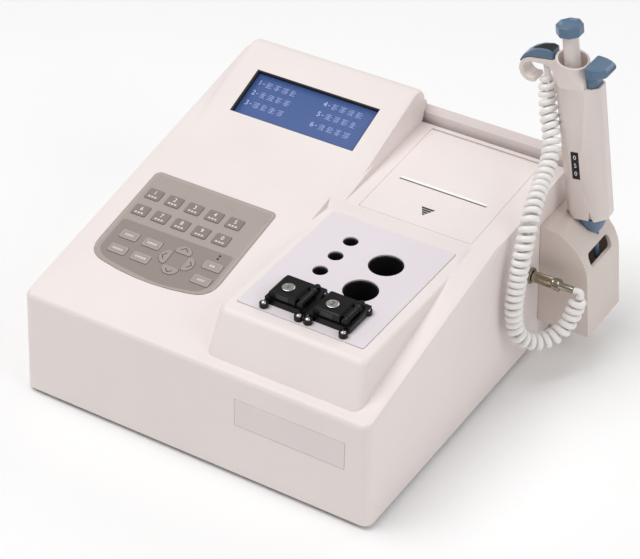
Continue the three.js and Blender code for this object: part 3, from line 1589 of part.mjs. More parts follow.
// Assembly: block
piece('well_plate', wellPlate(), platePlastic, blockTop);
piece('heating_block', heatingBlock(), bareMetal, blockTop);
const detectorTop = -heaterDepth - gap;
const detectorMiddle = channelLeft + (channelPitch + channelWidth) / 2;
piece('detector_board', box(
  detectorMiddle - detectorWidth / 2, detectorMiddle + detectorWidth / 2, channelFront + gap,
  channelFront + detectorLength, detectorTop - boardThickness, detectorTop), boardGreen, blockTop);
for (let index = 0; index < 2; index++) {
  const plateTop = gap - plateRecess + plateThickness;
  const channel = frame(blockTop, channelLeft + index * channelPitch, channelFront, plateTop + gap, 0);
  piece(`channel_base_${index + 1}`, channelBase(), channelBlack, channel);
  piece(`channel_lid_${index + 1}`, channelLid(), channelBlack, channel);
}

// Assembly: printer
piece('printer_cover', printerCover(), casingPlastic, platform);
piece('printer_frame', printerFrame(), darkPlastic, platform);
piece('platen_roller', platenRoller(), rubber, platform);
piece('paper_roll', paperRoll(), paper, platform);
piece('paper_strip', paperStrip(), paper, platform);

// Assembly: electrics
const boardLow = panTop + standoffHeight + gap;
piece('main_board', box(
  mainBoardLeft, mainBoardLeft + mainBoardWidth, mainBoardFront, mainBoardFront + mainBoardLength,
  boardLow, boardLow + boardThickness), boardGreen);
piece('power_supply', box(
  supplyLeft, supplyLeft + supplyWidth, supplyFront, supplyFront + supplyLength,
  panTop + gap, panTop + gap + supplyHeight), sheetSteel);
piece('rear_panel', rearPanel(), sheetSteel);
piece('power_inlet', powerInlet(), darkPlastic);
piece('power_switch', powerSwitch(), darkPlastic);
piece('serial_port', serialPort(), bareMetal);

// Assembly: holder, socket, pipette and cord
piece('pipette_holder', pipetteHolder(), holderPlastic);
piece('jack_socket', jackSocket(), bareMetal);
piece('jack_plug', jackPlug(), bareMetal);
piece('pipette_body', pipetteBody(), pipetteWhite, pipette);
piece('plunger', plunger(), pipetteWhite, pipette);
piece('plunger_knob', plungerKnob(), pipetteBlue, pipette);
piece('nose_cone', noseForm(0, 0), pipetteBlue, pipette);
piece('ejector', ejector(), pipetteBlue, pipette);
piece('hook_inlay', slabAlongY(inlayProfile(), -inlayWidth / 2, inlayWidth / 2), pipetteBlue, pipette);
piece('counter_window', counterWindow(), darkPlastic, pipette);
piece('curly_cord', curlyCord(), cordWhite);

export default analyzer;
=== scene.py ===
import json
import math

import bmesh
import bpy
from mathutils import Matrix, Vector

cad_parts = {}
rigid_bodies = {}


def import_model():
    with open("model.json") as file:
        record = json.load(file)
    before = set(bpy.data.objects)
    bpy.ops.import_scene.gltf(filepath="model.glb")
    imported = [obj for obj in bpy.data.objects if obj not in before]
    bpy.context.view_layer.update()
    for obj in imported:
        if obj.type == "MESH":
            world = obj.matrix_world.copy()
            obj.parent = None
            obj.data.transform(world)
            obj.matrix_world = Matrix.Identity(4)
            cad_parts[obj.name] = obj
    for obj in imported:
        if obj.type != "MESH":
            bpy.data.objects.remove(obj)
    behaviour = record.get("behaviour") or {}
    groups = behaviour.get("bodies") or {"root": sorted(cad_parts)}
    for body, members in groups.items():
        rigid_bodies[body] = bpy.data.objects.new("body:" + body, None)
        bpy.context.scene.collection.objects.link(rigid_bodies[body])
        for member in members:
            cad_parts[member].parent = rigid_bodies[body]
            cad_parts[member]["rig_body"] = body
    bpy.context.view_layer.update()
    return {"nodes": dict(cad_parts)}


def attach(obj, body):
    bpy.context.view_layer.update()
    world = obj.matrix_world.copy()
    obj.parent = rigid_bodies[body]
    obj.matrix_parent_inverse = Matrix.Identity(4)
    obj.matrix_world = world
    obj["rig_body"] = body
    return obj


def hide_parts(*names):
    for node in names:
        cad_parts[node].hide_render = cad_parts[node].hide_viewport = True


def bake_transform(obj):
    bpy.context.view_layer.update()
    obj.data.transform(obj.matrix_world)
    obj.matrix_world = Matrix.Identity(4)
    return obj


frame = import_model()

scene = bpy.context.scene

# Places are given in millimetres from the housing's front left corner on the table. The row frame is in
# metres, and its origin lies under the middle of the analyzer.
MM = 0.001
IN_MM = 1000
FRAME_ORIGIN = Vector((182.75, 164.0, 0.0))

# The housing's measures. The walls have a draft, and the deck, the hood and the platform have a rise.
BODY_WIDTH = 320
BODY_DEPTH = 328
FOOT_HEIGHT = 4
DRAFT = 0.035
DECK_FRONT_HEIGHT = 95
DECK_RISE = 0.215
HOOD_FOOT = 213
HOOD_RISE = 0.386
PLATFORM_START = 191.5
PLATFORM_RUN = 125.5
PLATFORM_REAR_HEIGHT = 145

# What stands on or beside the housing, by its front left corner or its axis
KEYPAD_LEFT = 24
KEYPAD_FRONT = 52
CHANNEL_LEFT = 195.5
CHANNEL_FRONT = 53
CHANNEL_PITCH = 38.7
PLATE_TOP = 131.1
JACK_ALONG = 254.4
JACK_HEIGHT = 78
PIPETTE_FOOT = (347, 306, 104.5)
PIPETTE_LEAN = -9


def at(x, y, z):
    """A place on the analyzer, in the row frame."""
    return (Vector((x, y, z)) - FRAME_ORIGIN) * MM


def placed(x, y, z, tilt=0.0, axis="X"):
    """A frame in millimetres at a place on the analyzer, tilted about one axis."""
    return Matrix.Translation(at(x, y, z)) @ Matrix.Rotation(tilt, 4, axis) @ Matrix.Scale(MM, 4)


def shifted(matrix, x, y, z=0.0, turn=0.0):
    """A frame moved and turned about its own upright axis."""
    return matrix @ Matrix.Translation((x, y, z)) @ Matrix.Rotation(turn, 4, "Z")


def deck_height(y):
    """Height of the sloped deck at a depth."""
    return DECK_FRONT_HEIGHT + DECK_RISE * y


def wall_at(size, height):
    """Where a drafted wall stands at a height, for the housing's size at its foot."""
    return size - DRAFT * (height - FOOT_HEIGHT)


DECK_TILT = math.atan(DECK_RISE)
HOOD_TILT = math.atan(HOOD_RISE)
PLATFORM_TILT = math.atan((PLATFORM_REAR_HEIGHT - deck_height(PLATFORM_START)) / PLATFORM_RUN)
DECK = placed(KEYPAD_LEFT, KEYPAD_FRONT, deck_height(KEYPAD_FRONT), DECK_TILT)
HOOD = placed(0, HOOD_FOOT, deck_height(HOOD_FOOT), HOOD_TILT)
PLATFORM = placed(0, PLATFORM_START, deck_height(PLATFORM_START), PLATFORM_TILT)
PIPETTE = placed(*PIPETTE_FOOT, math.radians(PIPETTE_LEAN), "Y")
CHANNELS = [placed(CHANNEL_LEFT + CHANNEL_PITCH * i, CHANNEL_FRONT, PLATE_TOP) for i in range(2)]
JACK_WALL = wall_at(BODY_WIDTH, JACK_HEIGHT)
JACK = placed(JACK_WALL, JACK_ALONG, JACK_HEIGHT, math.pi / 2, "Y")


# Colours and surfaces
def tone(red, green, blue):
    """A colour as it shows on a screen, 0 to 255, as a shader colour."""
    def linear(value):
        share = value / 255
        return share / 12.92 if share <= 0.04045 else ((share + 0.055) / 1.055) ** 2.4
    return (linear(red), linear(green), linear(blue), 1.0)


def scaled(colour, share):
    """A lighter or darker colour of the same hue."""
    return (colour[0] * share, colour[1] * share, colour[2] * share, 1.0)


def join(tree, item, slot):
    """A value, a socket or a plain number goes into a slot."""
    if isinstance(item, Value):
        tree.links.new(item.socket, slot)
    elif isinstance(item, bpy.types.NodeSocket):
        tree.links.new(item, slot)
    else:
        slot.default_value = item


class Value:
    """A number that varies over a surface, for shader maths."""

    def __init__(self, tree, socket):
        self.tree = tree
        self.socket = socket

    def math(self, operation, *items, clamp=False):
        """What a maths node makes of these items."""
        node = self.tree.nodes.new("ShaderNodeMath")
        node.operation = operation
        node.use_clamp = clamp
        for item, slot in zip(items, node.inputs):
            join(self.tree, item, slot)
        return Value(self.tree, node.outputs[0])

    def __add__(self, other):
        return self.math("ADD", self, other)

    def __sub__(self, other):
        return self.math("SUBTRACT", self, other)

    def __rsub__(self, other):
        return self.math("SUBTRACT", other, self)

    def __mul__(self, other):
        return self.math("MULTIPLY", self, other)

    def __truediv__(self, other):
        return self.math("DIVIDE", self, other)

    __radd__ = __add__
    __rmul__ = __mul__

    def over(self, edge, blur):
        """0 below the edge, 1 above it, with a soft step."""
        return self.math("MULTIPLY", (self - (edge - blur / 2)) / blur, 1.0, clamp=True)

    def size(self):
        """How far it is from nought."""
        return self.math("ABSOLUTE", self)

    def most(self, other, soft):
        """The larger of two, with their meeting rounded."""
        return self.math("SMOOTH_MAX", self, other, soft)


class Surface:
    """One material and its shader nodes."""

    def __init__(self, name, **settings):
        self.material = bpy.data.materials.new(name)
        self.material.use_nodes = True
        self.tree = self.material.node_tree
        self.shader = self.tree.nodes["Principled BSDF"]
        for key, value in settings.items():
            self.shader.inputs[key.replace("_", " ")].default_value = value
        self.spot = self.node("ShaderNodeTexCoord").outputs["Object"]

    def node(self, kind, settings=None, values=None):
        """A new node with its settings and what goes into its slots."""
        made = self.tree.nodes.new(kind)
        for key, value in (settings or {}).items():
            setattr(made, key, value)
        for key, value in (values or {}).items():
            join(self.tree, value, made.inputs[key])
        return made

    def noise(self, scale, detail=3.0, stretch=None):
        """Uneven tones over the surface, drawn out where a stretch is given."""
        spot = self.spot
        if stretch:
            values = {"Vector": spot, "Scale": stretch}
            spot = self.node("ShaderNodeMapping", None, values).outputs[0]
        values = {"Vector": spot, "Scale": scale, "Detail": detail}
        return Value(self.tree, self.node("ShaderNodeTexNoise", None, values).outputs[0])

    def axes(self):
        """The place across, along and up, in metres."""
        parts = self.node("ShaderNodeSeparateXYZ", None, {"Vector": self.spot}).outputs
        return [Value(self.tree, parts[i]) for i in range(3)]

    def mixed(self, low, high, share):
        """One colour turning into another with a share."""
        values = {0: share, 6: low, 7: high}
        return self.node("ShaderNodeMix", {"data_type": "RGBA"}, values).outputs[2]

    def feed(self, slot, item):
        """An item goes into a slot of the shader."""
        join(self.tree, item, self.shader.inputs[slot])
        return self

    def bumpy(self, height, strength, distance=0.0001):
        """Small heights in the surface."""
        values = {"Height": height, "Strength": strength, "Distance": distance}
        return self.feed("Normal", self.node("ShaderNodeBump", None, values).outputs[0])


def plastic(name, colour, roughness, grain=0.12, mottle=0.04, coat=0.0, shine=0.5):
    """Moulded plastic: a broad, faint change of tone, uneven sheen and a fine grain."""
    made = Surface(name, Coat_Weight=coat, IOR=1.46, Specular_IOR_Level=shine)
    low = scaled(colour, 1 - mottle)
    made.feed("Base Color", made.mixed(low, colour, made.noise(14).over(0.5, 0.5)))
    made.feed("Roughness", made.noise(45, 4) * 0.14 + (roughness - 0.07))
    return made.bumpy(made.noise(1400, 2), grain)


def metal(name, colour, roughness, stretch, grain=0.25, dark=0.8):
    """Metal with marks drawn out along one way; on the plug's chrome these marks are painted reflection
    bands.
    """
    made = Surface(name, Metallic=1.0)
    marks = made.noise(900, 3, stretch)
    made.feed("Base Color", made.mixed(scaled(colour, dark), colour, marks.over(0.5, 0.3)))
    made.feed("Roughness", marks * 0.2 + (roughness - 0.1))
    return made.bumpy(marks, grain)


casing = plastic("casing_plastic", tone(241, 231, 228), 0.42).material
holder_plastic = plastic("holder_plastic", tone(222, 209, 202), 0.42).material
plate_plastic = plastic("plate_plastic", tone(231, 223, 228), 0.38, coat=0.1).material
badge_plastic = plastic("badge_plastic", tone(233, 224, 221), 0.4).material
dark_plastic = plastic("dark_plastic", tone(38, 37, 39), 0.4).material
channel_black = plastic("channel_black", tone(12, 12, 13), 0.3, grain=0.2, mottle=0.3, shine=0.35).material
well_black = plastic("well_black", tone(26, 25, 26), 0.5, grain=0.3, mottle=0.4).material
grey_panel = plastic("grey_panel", tone(44, 43, 43), 0.35).material
shell_plastic = plastic("pipette_shell", tone(231, 219, 214), 0.36, coat=0.15).material
blue_plastic = plastic("pipette_blue", tone(92, 117, 143), 0.36, coat=0.2).material
# Painted shade for the display window's walls and the hook's recess, and the dark of the counter's window
painted_shade_and_dark_window = plastic("painted_shade_and_dark_window", tone(22, 22, 24), 0.6).material
cord_plastic = plastic("cord_plastic", tone(246, 243, 240), 0.34, coat=0.2).material
key_dark = plastic("key_dark", tone(140, 128, 123), 0.42, grain=0.2).material
key_light = plastic("key_light", tone(168, 156, 149), 0.42, grain=0.2).material
print_white = plastic("print_white", tone(246, 244, 242), 0.5).material
print_dark = plastic("print_dark", tone(60, 56, 56), 0.5).material
print_black = plastic("print_black", tone(30, 29, 30), 0.5).material
print_faint = plastic("print_faint", tone(192, 181, 175), 0.5).material
print_grey = plastic("print_grey", tone(222, 214, 209), 0.5).material
rubber = plastic("black_rubber", tone(34, 34, 35), 0.7, grain=0.5, mottle=0.2).material
steel = metal("drawn_steel", tone(178, 178, 180), 0.38, (1, 18, 18)).material
# The plug's chrome: its dark bands, drawn out along the axis and much darker than the rest, are painted
# reflections
chrome = metal("chrome_painted_reflections", tone(196, 188, 170), 0.2, (0.04, 1.4, 1.4), 0.1, 0.3).material
silver = metal("turned_silver", tone(214, 211, 206), 0.28, (6, 1, 1)).material
brass = metal("nickel_on_brass", tone(176, 164, 144), 0.24, (1, 6, 6), 0.25, 0.55).material
paper = plastic("paper", tone(250, 249, 247), 0.8, grain=0.6, mottle=0.02).material


def board_surface():
    """Green circuit board with paler tracks."""
    made = Surface("circuit_board", Roughness=0.45)
    values = {"Vector": made.spot, "Scale": 260.0}
    cells = made.node("ShaderNodeTexVoronoi", {"distance": "MANHATTAN"}, values).outputs[0]
    tracks = Value(made.tree, cells).over(0.42, 0.06)
    made.feed("Base Color", made.mixed(tone(24, 82, 52), tone(58, 122, 78), tracks))
    return made.bumpy(tracks, 0.4).material


def pane_surface():
    """The clear pane over the display."""
    made = Surface("display_pane", Roughness=0.08, Alpha=0.16, IOR=1.5)
    made.feed("Base Color", made.mixed(tone(70, 88, 130), tone(96, 116, 160), made.noise(20)))
    return made.bumpy(made.noise(500), 0.02).material


def screen_surface():
    """The display's blue field: fine dots, a little brighter towards the right."""
    made = Surface("lit_screen", Roughness=0.3, Emission_Strength=0.6)
    across = made.axes()[0]
    values = {"Vector": made.spot, "Scale": 1600.0}
    cells = made.node("ShaderNodeTexVoronoi", {"distance": "CHEBYCHEV"}, values).outputs[0]
    dots = Value(made.tree, cells).over(0.36, 0.2)
    glow = made.mixed(tone(62, 90, 152), tone(88, 112, 170), (across + 0.14) / 0.14 * 0.7 + dots * 0.12)
    made.feed("Base Color", made.mixed(tone(52, 72, 118), tone(62, 82, 128), dots))
    return made.feed("Emission Color", glow).material


def lit_surface(name, strength, colours, glows):
    """Lit marks on the display: two tones of their own and two of their glow."""
    made = Surface(name, Roughness=0.4, Emission_Strength=strength)
    made.feed("Base Color", made.mixed(*colours, made.noise(700)))
    return made.feed("Emission Color", made.mixed(*glows, made.noise(900))).material


# The keypad sheet and its darker printed field, from the sheet's front left corner
SHEET_HALF_WIDTH = 58
SHEET_HALF_LENGTH = 54.2
SHEET_CORNER = 4.0
FIELD_CORNER = 5.0
FIELD_OUTLINE = [
    (5.6, 17), (14, 9.6), (40, 5.2), (74, 3.4), (104, 9.6), (110.6, 18), (110.6, 53), (5.2, 51.8),
]


def overlay_surface():
    """The keypad sheet: light grey with a darker printed field round the lower keys and a pale rim."""
    made = Surface("keypad_sheet")
    across, deep, high = made.axes()
    origin = at(KEYPAD_LEFT, KEYPAD_FRONT, deck_height(KEYPAD_FRONT))
    x = (across - origin.x) * IN_MM
    slope = (math.cos(DECK_TILT) * IN_MM, math.sin(DECK_TILT) * IN_MM)
    y = (deep - origin.y) * slope[0] + (high - origin.z) * slope[1]
    field = None
    for start, end in zip(FIELD_OUTLINE, FIELD_OUTLINE[1:] + FIELD_OUTLINE[:1]):
        way = Vector((end[0] - start[0], end[1] - start[1])).normalized()
        away = x * way.y - y * way.x - (start[0] * way.y - start[1] * way.x)
        field = away if field is None else field.most(away, FIELD_CORNER)
    sideways = (x - SHEET_HALF_WIDTH).size() - SHEET_HALF_WIDTH
    rim = sideways.most((y - SHEET_HALF_LENGTH).size() - SHEET_HALF_LENGTH, SHEET_CORNER)
    rim_band = rim.over(-2.6, 0.5) * (1 - rim.over(-1.2, 0.5))
    colour = made.mixed(tone(171, 159, 153), tone(148, 136, 130), 1 - field.over(0.0, 0.5))
    colour = made.mixed(colour, tone(180, 169, 164), rim_band)
    made.feed("Base Color", made.mixed(tone(152, 141, 136), colour, made.noise(80).over(0.2, 0.3)))
    made.feed("Roughness", made.noise(60) * 0.14 + 0.36)
    return made.bumpy(made.noise(1300, 2), 0.2).material


def floor_surface():
    """A plain pale floor."""
    made = Surface("pale_floor", Roughness=0.9)
    shades = made.mixed(tone(250, 250, 250), tone(255, 255, 255), made.noise(3))
    return made.feed("Base Color", shades).material


# Camera, at the photograph's angle
AZIMUTH = math.radians(31.93)
ELEVATION = math.radians(36.43)
lens = bpy.data.cameras.new("photo_camera")
lens.sensor_fit = "HORIZONTAL"
lens.sensor_width = 36.0
lens.lens = 123.57
camera = bpy.data.objects.new("photo_camera", lens)
scene.collection.objects.link(camera)
level = math.cos(ELEVATION)
back = Vector((math.sin(AZIMUTH) * level, -math.cos(AZIMUTH) * level, math.sin(ELEVATION)))
camera.rotation_mode = "QUATERNION"
camera.rotation_quaternion = (-back).to_track_quat("-Z", "Y")
camera.location = (0.74165, -1.2015, 1.1197)
scene.camera = camera


# Modelling
def settle(name, form, matrix, material, body, angle=35.0, edge=0.0, segments=3):
    """A piece from a bmesh, put in place, its faces pointing outwards."""
    form.transform(matrix)
    bmesh.ops.recalc_face_normals(form, faces=form.faces)
    mesh = bpy.data.meshes.new(name)
    form.to_mesh(mesh)
    form.free()
    return show(name, mesh, material, body, angle, edge, segments)


def show(name, mesh, material, body, angle=35.0, edge=0.0, segments=3):
    """A piece from a mesh: shaded smooth up to an angle, its edges rounded, riding on a body."""
    piece = bpy.data.objects.new(name, mesh)
    scene.collection.objects.link(piece)
    mesh.materials.clear()
    mesh.materials.append(material)
    mesh.shade_smooth()
    mesh.set_sharp_from_angle(angle=math.radians(angle))
    if edge:
        rounding = piece.modifiers.new("rounded_edges", "BEVEL")
        rounding.width = edge * MM
        rounding.segments = segments
        rounding.limit_method = "ANGLE"
        rounding.angle_limit = math.radians(angle)
        rounding.harden_normals = True
        rounding.use_clamp_overlap = True
    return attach(piece, body) if body else piece


MERGE_REACH = 2e-6
SEAM_REACH = 1e-4
FLAT_ANGLE = math.radians(0.5)


def softened(node, material, edge=0.5, angle=35.0, segments=3, rounded_first=None):
    """A CAD node's shape with its flat faces joined up and its edges rounded."""
    source = frame["nodes"][node]
    form = bmesh.new()
    form.from_mesh(source.data)
    bmesh.ops.remove_doubles(form, verts=form.verts, dist=MERGE_REACH)
    bmesh.ops.dissolve_limit(form, angle_limit=FLAT_ANGLE, verts=form.verts, edges=form.edges)
    if rounded_first:
        rounded_first(form)
    own_place = Matrix.Identity(4)
    piece = settle(node + "_form", form, own_place, material, source["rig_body"], angle, edge, segments)
    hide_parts(node)
    return piece


def dress(material, *names):
    """A material for CAD nodes that keep their own shape."""
    for name in names:
        mesh = frame["nodes"][name].data
        mesh.materials.clear()
        mesh.materials.append(material)


def block(name, low, high, matrix, material, body, edge=0.0):
    """A box between two corners."""
    form = bmesh.new()
    bmesh.ops.create_cube(form, size=1.0)
    low, high = Vector(low), Vector(high)
    bmesh.ops.scale(form, vec=high - low, verts=form.verts)
    bmesh.ops.translate(form, vec=(low + high) / 2, verts=form.verts)
    return settle(name, form, matrix, material, body, edge=edge)


def spun(name, profile, matrix, material, body, steps=48, angle=35.0, edge=0.0, turn=0.0):
    """A round piece: a line of (radius, height) points turned about its axis."""
    form = bmesh.new()
    points = [form.verts.new((radius, 0, height)) for radius, height in profile]
    for first, second in zip(points, points[1:]):
        form.edges.new((first, second))
    line = list(form.verts) + list(form.edges)
    bmesh.ops.spin(
        form, geom=line, cent=(0, 0, 0), axis=(0, 0, 1), steps=steps, angle=2 * math.pi, use_merge=True)
    bmesh.ops.remove_doubles(form, verts=form.verts, dist=SEAM_REACH)
    if turn:
        bmesh.ops.rotate(form, cent=(0, 0, 0), matrix=Matrix.Rotation(turn, 3, "Z"), verts=form.verts)
    return settle(name, form, matrix, material, body, angle, edge)


def outline_slab(name, outline, low, high, matrix, material, body, hole=None):
    """A flat sheet from a closed outline, with an optional hole of as many points."""
    form = bmesh.new()
    outer = [form.verts.new((x, y, low)) for x, y in outline]
    if hole:
        inner = [form.verts.new((x, y, low)) for x, y in hole]
        faces = []
        for i in range(len(outer)):
            j = (i + 1) % len(outer)
            faces.append(form.faces.new((outer[i], outer[j], inner[j], inner[i])))
    else:
        faces = [form.faces.new(outer)]
    grown = bmesh.ops.extrude_face_region(form, geom=faces)
    raised = [item for item in grown["geom"] if isinstance(item, bmesh.types.BMVert)]
    bmesh.ops.translate(form, vec=(0, 0, high - low), verts=raised)
    return settle(name, form, matrix, material, body)


def lettering(name, text, size, matrix, material, body, depth=0.06):
    """Plain numerals as a thin raised mesh."""
    curve = bpy.data.curves.new(name, "FONT")
    curve.body = text
    curve.size = size
    curve.align_x = "CENTER"
    curve.align_y = "CENTER"
    curve.extrude = depth / 2
    curve.resolution_u = 3
    flat = bpy.data.objects.new(name + "_line", curve)
    scene.collection.objects.link(flat)
    bpy.context.view_layer.update()
    graph = bpy.context.evaluated_depsgraph_get()
    mesh = bpy.data.meshes.new_from_object(flat.evaluated_get(graph))
    bpy.data.objects.remove(flat)
    mesh.transform(matrix)
    return show(name, mesh, material, body)


def rounded_outline(width, length, radius, steps=4):
    """The outline of a rectangle with round corners."""
    points = []
    corners = [(1, 1, 0), (-1, 1, 90), (-1, -1, 180), (1, -1, 270)]
    for side_x, side_y, start in corners:
        for step in range(steps + 1):
            angle = math.radians(start + 90 * step / steps)
            x = side_x * (width / 2 - radius) + radius * math.cos(angle)
            y = side_y * (length / 2 - radius) + radius * math.sin(angle)
            points.append((x, y))
    return points


def pan_screw(name, x, y, z, radius, height, matrix):
    """A pan head with a round socket in its middle."""
    dome = [(radius * math.cos(a), height * math.sin(a)) for a in (0.0, 0.35, 0.7, 1.05)]
    socket = [(radius * 0.36, height * 0.95), (radius * 0.34, height * 0.35), (0, height * 0.3)]
    return spun(name, [(radius, -0.2), *dome, *socket], shifted(matrix, x, y, z), silver, "base", steps=24)


# Side socket and plug, with a grip whose points lie by turns out and in
PLUG_START = 3.1
GRIP_LENGTH = 15.0
GRIP_MIDDLE = 13.1
GRIP_RADIUS = 4.6
GRIP_GROOVE = 0.94
GRIP_SIDES = 72
softened("jack_socket", brass, edge=0.2)
form = bmesh.new()
bmesh.ops.create_cone(
    form, cap_ends=True, segments=GRIP_SIDES, radius1=GRIP_RADIUS, radius2=GRIP_RADIUS, depth=GRIP_LENGTH)
round_about = sorted(form.verts, key=lambda v: math.atan2(v.co.y, v.co.x))
for index, vert in enumerate(round_about):
    sunk = index // 2 % 2
    if sunk:
        vert.co.x *= GRIP_GROOVE
        vert.co.y *= GRIP_GROOVE
settle("plug_grip", form, shifted(JACK, 0, 0, GRIP_MIDDLE), brass, "base", angle=20)
plug_profile = [
    (0, PLUG_START), (4.2, PLUG_START), (4.6, 3.5), (4.6, 4.6), (4.2, 4.9), (4.2, 20.6), (4.6, 20.9),
    (4.6, 22.1), (5.0, 22.1), (5.2, 22.4), (5.2, 26.7), (4.9, 27.1), (3.3, 27.1), (3.0, 27.6), (3.0, 38.4),
    (2.8, 39.1), (0, 39.1),
]
plug = spun("cord_plug", plug_profile, JACK, chrome, "base", steps=48)
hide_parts("jack_plug")

# Curly cord, from the plug to the gland on the pipette
CORD_RADIUS = 2.7
CURL_RADIUS = 5.0
CURL_PITCH = 6.0
CURL_STEPS = 20
START_RAMP = 1.2
END_RAMP = 0.9
CORD_STRAIGHT = 5.4
START_LEAD = 7
END_LEAD = 9
TURN_STEPS = 600
START_LEAD_STEPS = 6
END_LEAD_STEPS = 12
GLAND = (-30, 0, 140.7)
PLUG_ENTRY = 36.3
CORD_ROUTE = [
    (299.5, 302.7, 210), (305.2, 296.5, 197.5), (312.1, 288.3, 185.5), (316.9, 275.9, 174.8),
    (320, 258.9, 166), (324, 240.1, 160), (328.3, 223.2, 149.5), (329.6, 213.5, 131.5), (329, 208, 105),
    (328.6, 205.3, 84), (329, 207, 67), (331.5, 209.4, 54.8), (336.3, 215.9, 45.6), (344.5, 227.7, 40.4),
    (352.8, 239.6, 43.8), (358, 247.4, 53.5), (360.6, 251.2, 65), (362.3, 253.2, 71.8),
    (363.2, 254.1, 75.4),
]


class Route:
    """A smooth line through points, with places on it by distance."""

    def __init__(self, points, divisions=2000):
        self.points = points
        self.lengths = [0.0]
        self.divisions = divisions
        before = self.spot(0.0)
        for i in range(1, divisions + 1):
            here = self.spot(i / divisions)
            self.lengths.append(self.lengths[-1] + (here - before).length)
            before = here
        self.length = self.lengths[-1]

    def spot(self, share):
        """The place at a share of the points: a centripetal curve through them."""
        points = self.points
        place = share * (len(points) - 1)
        first = min(int(place), len(points) - 2)
        local = place - first
        p1, p2 = points[first], points[first + 1]
        p0 = points[first - 1] if first > 0 else 2 * points[0] - points[1]
        p3 = points[first + 2] if first + 2 < len(points) else 2 * points[-1] - points[-2]
        d0, d1, d2 = [max((b - a).length, 1e-4) ** 0.5 for a, b in ((p0, p1), (p1, p2), (p2, p3))]
        t1 = ((p1 - p0) / d0 - (p2 - p0) / (d0 + d1) + (p2 - p1) / d1) * d1
        t2 = ((p2 - p1) / d1 - (p3 - p1) / (d1 + d2) + (p3 - p2) / d2) * d1
        c2 = -3 * p1 + 3 * p2 - 2 * t1 - t2
        c3 = 2 * p1 - 2 * p2 + t1 + t2
        return p1 + t1 * local + c2 * local ** 2 + c3 * local ** 3

    def share_at(self, distance):
        """The share of the points that a distance along the line has reached."""
        low, high = 0, self.divisions
        while high - low > 1:
            middle = (low + high) // 2
            if self.lengths[middle] <= distance:
                low = middle
            else:
                high = middle
        run = self.lengths[high] - self.lengths[low]
        return (low + (distance - self.lengths[low]) / run) / self.divisions

    def at_distance(self, distance):
        """The place at a distance along the line."""
        return self.spot(self.share_at(min(max(distance, 0.0), self.length)))

    def way_at(self, distance, reach=0.1):
        """The line's way at a distance."""
        return (self.at_distance(distance + reach) - self.at_distance(distance - reach)).normalized()


def cord_centres():
    """The cord's centreline from the plug: straight leads, and between them a helix round the route."""
    start = PIPETTE @ Vector(GLAND) / MM + FRAME_ORIGIN
    down = (PIPETTE.to_3x3() @ Vector((0, 0, -1))).normalized()
    end = Vector((JACK_WALL + PLUG_START + PLUG_ENTRY, JACK_ALONG, JACK_HEIGHT))
    stretch = Vector((CORD_STRAIGHT, 0, 0))
    inner = [Vector(point) for point in CORD_ROUTE]
    route = Route([start, start + down * CORD_STRAIGHT, *inner, end + stretch, end])
    step = (route.length - START_LEAD - END_LEAD) / TURN_STEPS
    turns = [0.0]
    for i in range(TURN_STEPS):
        bend = route.way_at(START_LEAD + step * i).angle(route.way_at(START_LEAD + step * (i + 1)))
        turns.append(turns[-1] + (step - CURL_RADIUS * bend) / CURL_PITCH)
    rings = round(turns[-1]) * CURL_STEPS
    centres = [route.at_distance(START_LEAD * i / START_LEAD_STEPS) for i in range(START_LEAD_STEPS)]
    normal = Vector((0, 1, 0))
    place = 0
    for i in range(rings + 1):
        wanted = turns[-1] * i / rings
        while place < TURN_STEPS - 1 and turns[place + 1] < wanted:
            place += 1
        share = (wanted - turns[place]) / (turns[place + 1] - turns[place])
        distance = START_LEAD + step * (place + share)
        way = route.way_at(distance)
        normal = (normal - way * normal.dot(way)).normalized()
        side = way.cross(normal)
        turn = 2 * math.pi * i / CURL_STEPS
        near_start = min(i / CURL_STEPS / START_RAMP, 1)
        near_end = min((rings - i) / CURL_STEPS / END_RAMP, 1)
        swell = math.sin(min(near_start, near_end) * math.pi / 2)
        offset = normal * math.cos(turn) + side * math.sin(turn)
        centres.append(route.at_distance(distance) + offset * CURL_RADIUS * swell)
    for i in range(1, END_LEAD_STEPS + 1):
        centres.append(route.at_distance(route.length - END_LEAD * (1 - i / END_LEAD_STEPS)))
    return [(centre - FRAME_ORIGIN) * MM for centre in reversed(centres)]


def tube(name, centres, radius, material, sides=10):
    """A round tube along a line of centres: one ring is carried along it and bridged to the next."""
    form = bmesh.new()
    normal = Vector((0, 1, 0))
    last = None
    for i, centre in enumerate(centres):
        before = centres[max(i - 1, 0)]
        after = centres[min(i + 1, len(centres) - 1)]
        way = (after - before).normalized()
        normal = (normal - way * normal.dot(way)).normalized()
        side = way.cross(normal)
        turned = Matrix((normal, side, way)).transposed().to_4x4()
        spot = Matrix.Translation(centre) @ turned
        closed = i in (0, len(centres) - 1)
        made = bmesh.ops.create_circle(form, cap_ends=closed, segments=sides, radius=radius, matrix=spot)
        ring = made["verts"]
        if last:
            for j in range(sides):
                k = (j + 1) % sides
                form.faces.new((last[j], last[k], ring[k], ring[j]))
        last = ring
    return settle(name, form, Matrix.Identity(4), material, None, angle=60)


centres = cord_centres()
cord = tube("curly_cord_form", centres, CORD_RADIUS * MM, cord_plastic)
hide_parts("curly_cord")
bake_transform(cord)
cord_length = sum((b - a).length for a, b in zip(centres, centres[1:]))


# Housing
RIDGE_EDGE = at(0, 322.6, 158.5)
RIDGE_REACH = 2.5 * MM
RIDGE_LEAST_LENGTH = 50 * MM
RIDGE_ROUND = 3.6 * MM


def rounded_ridge(form):
    """A wide round along the front edge of the ridge behind the printer."""
    near = [vert for vert in form.verts if (vert.co.yz - RIDGE_EDGE.yz).length < RIDGE_REACH]
    edges = [edge for edge in form.edges if edge.verts[0] in near and edge.verts[1] in near]
    edges = [edge for edge in edges if edge.calc_length() > RIDGE_LEAST_LENGTH]
    bmesh.ops.bevel(
        form, geom=edges, offset=RIDGE_ROUND, segments=6, profile=0.5, material=-1, affect="EDGES",
        clamp_overlap=True)


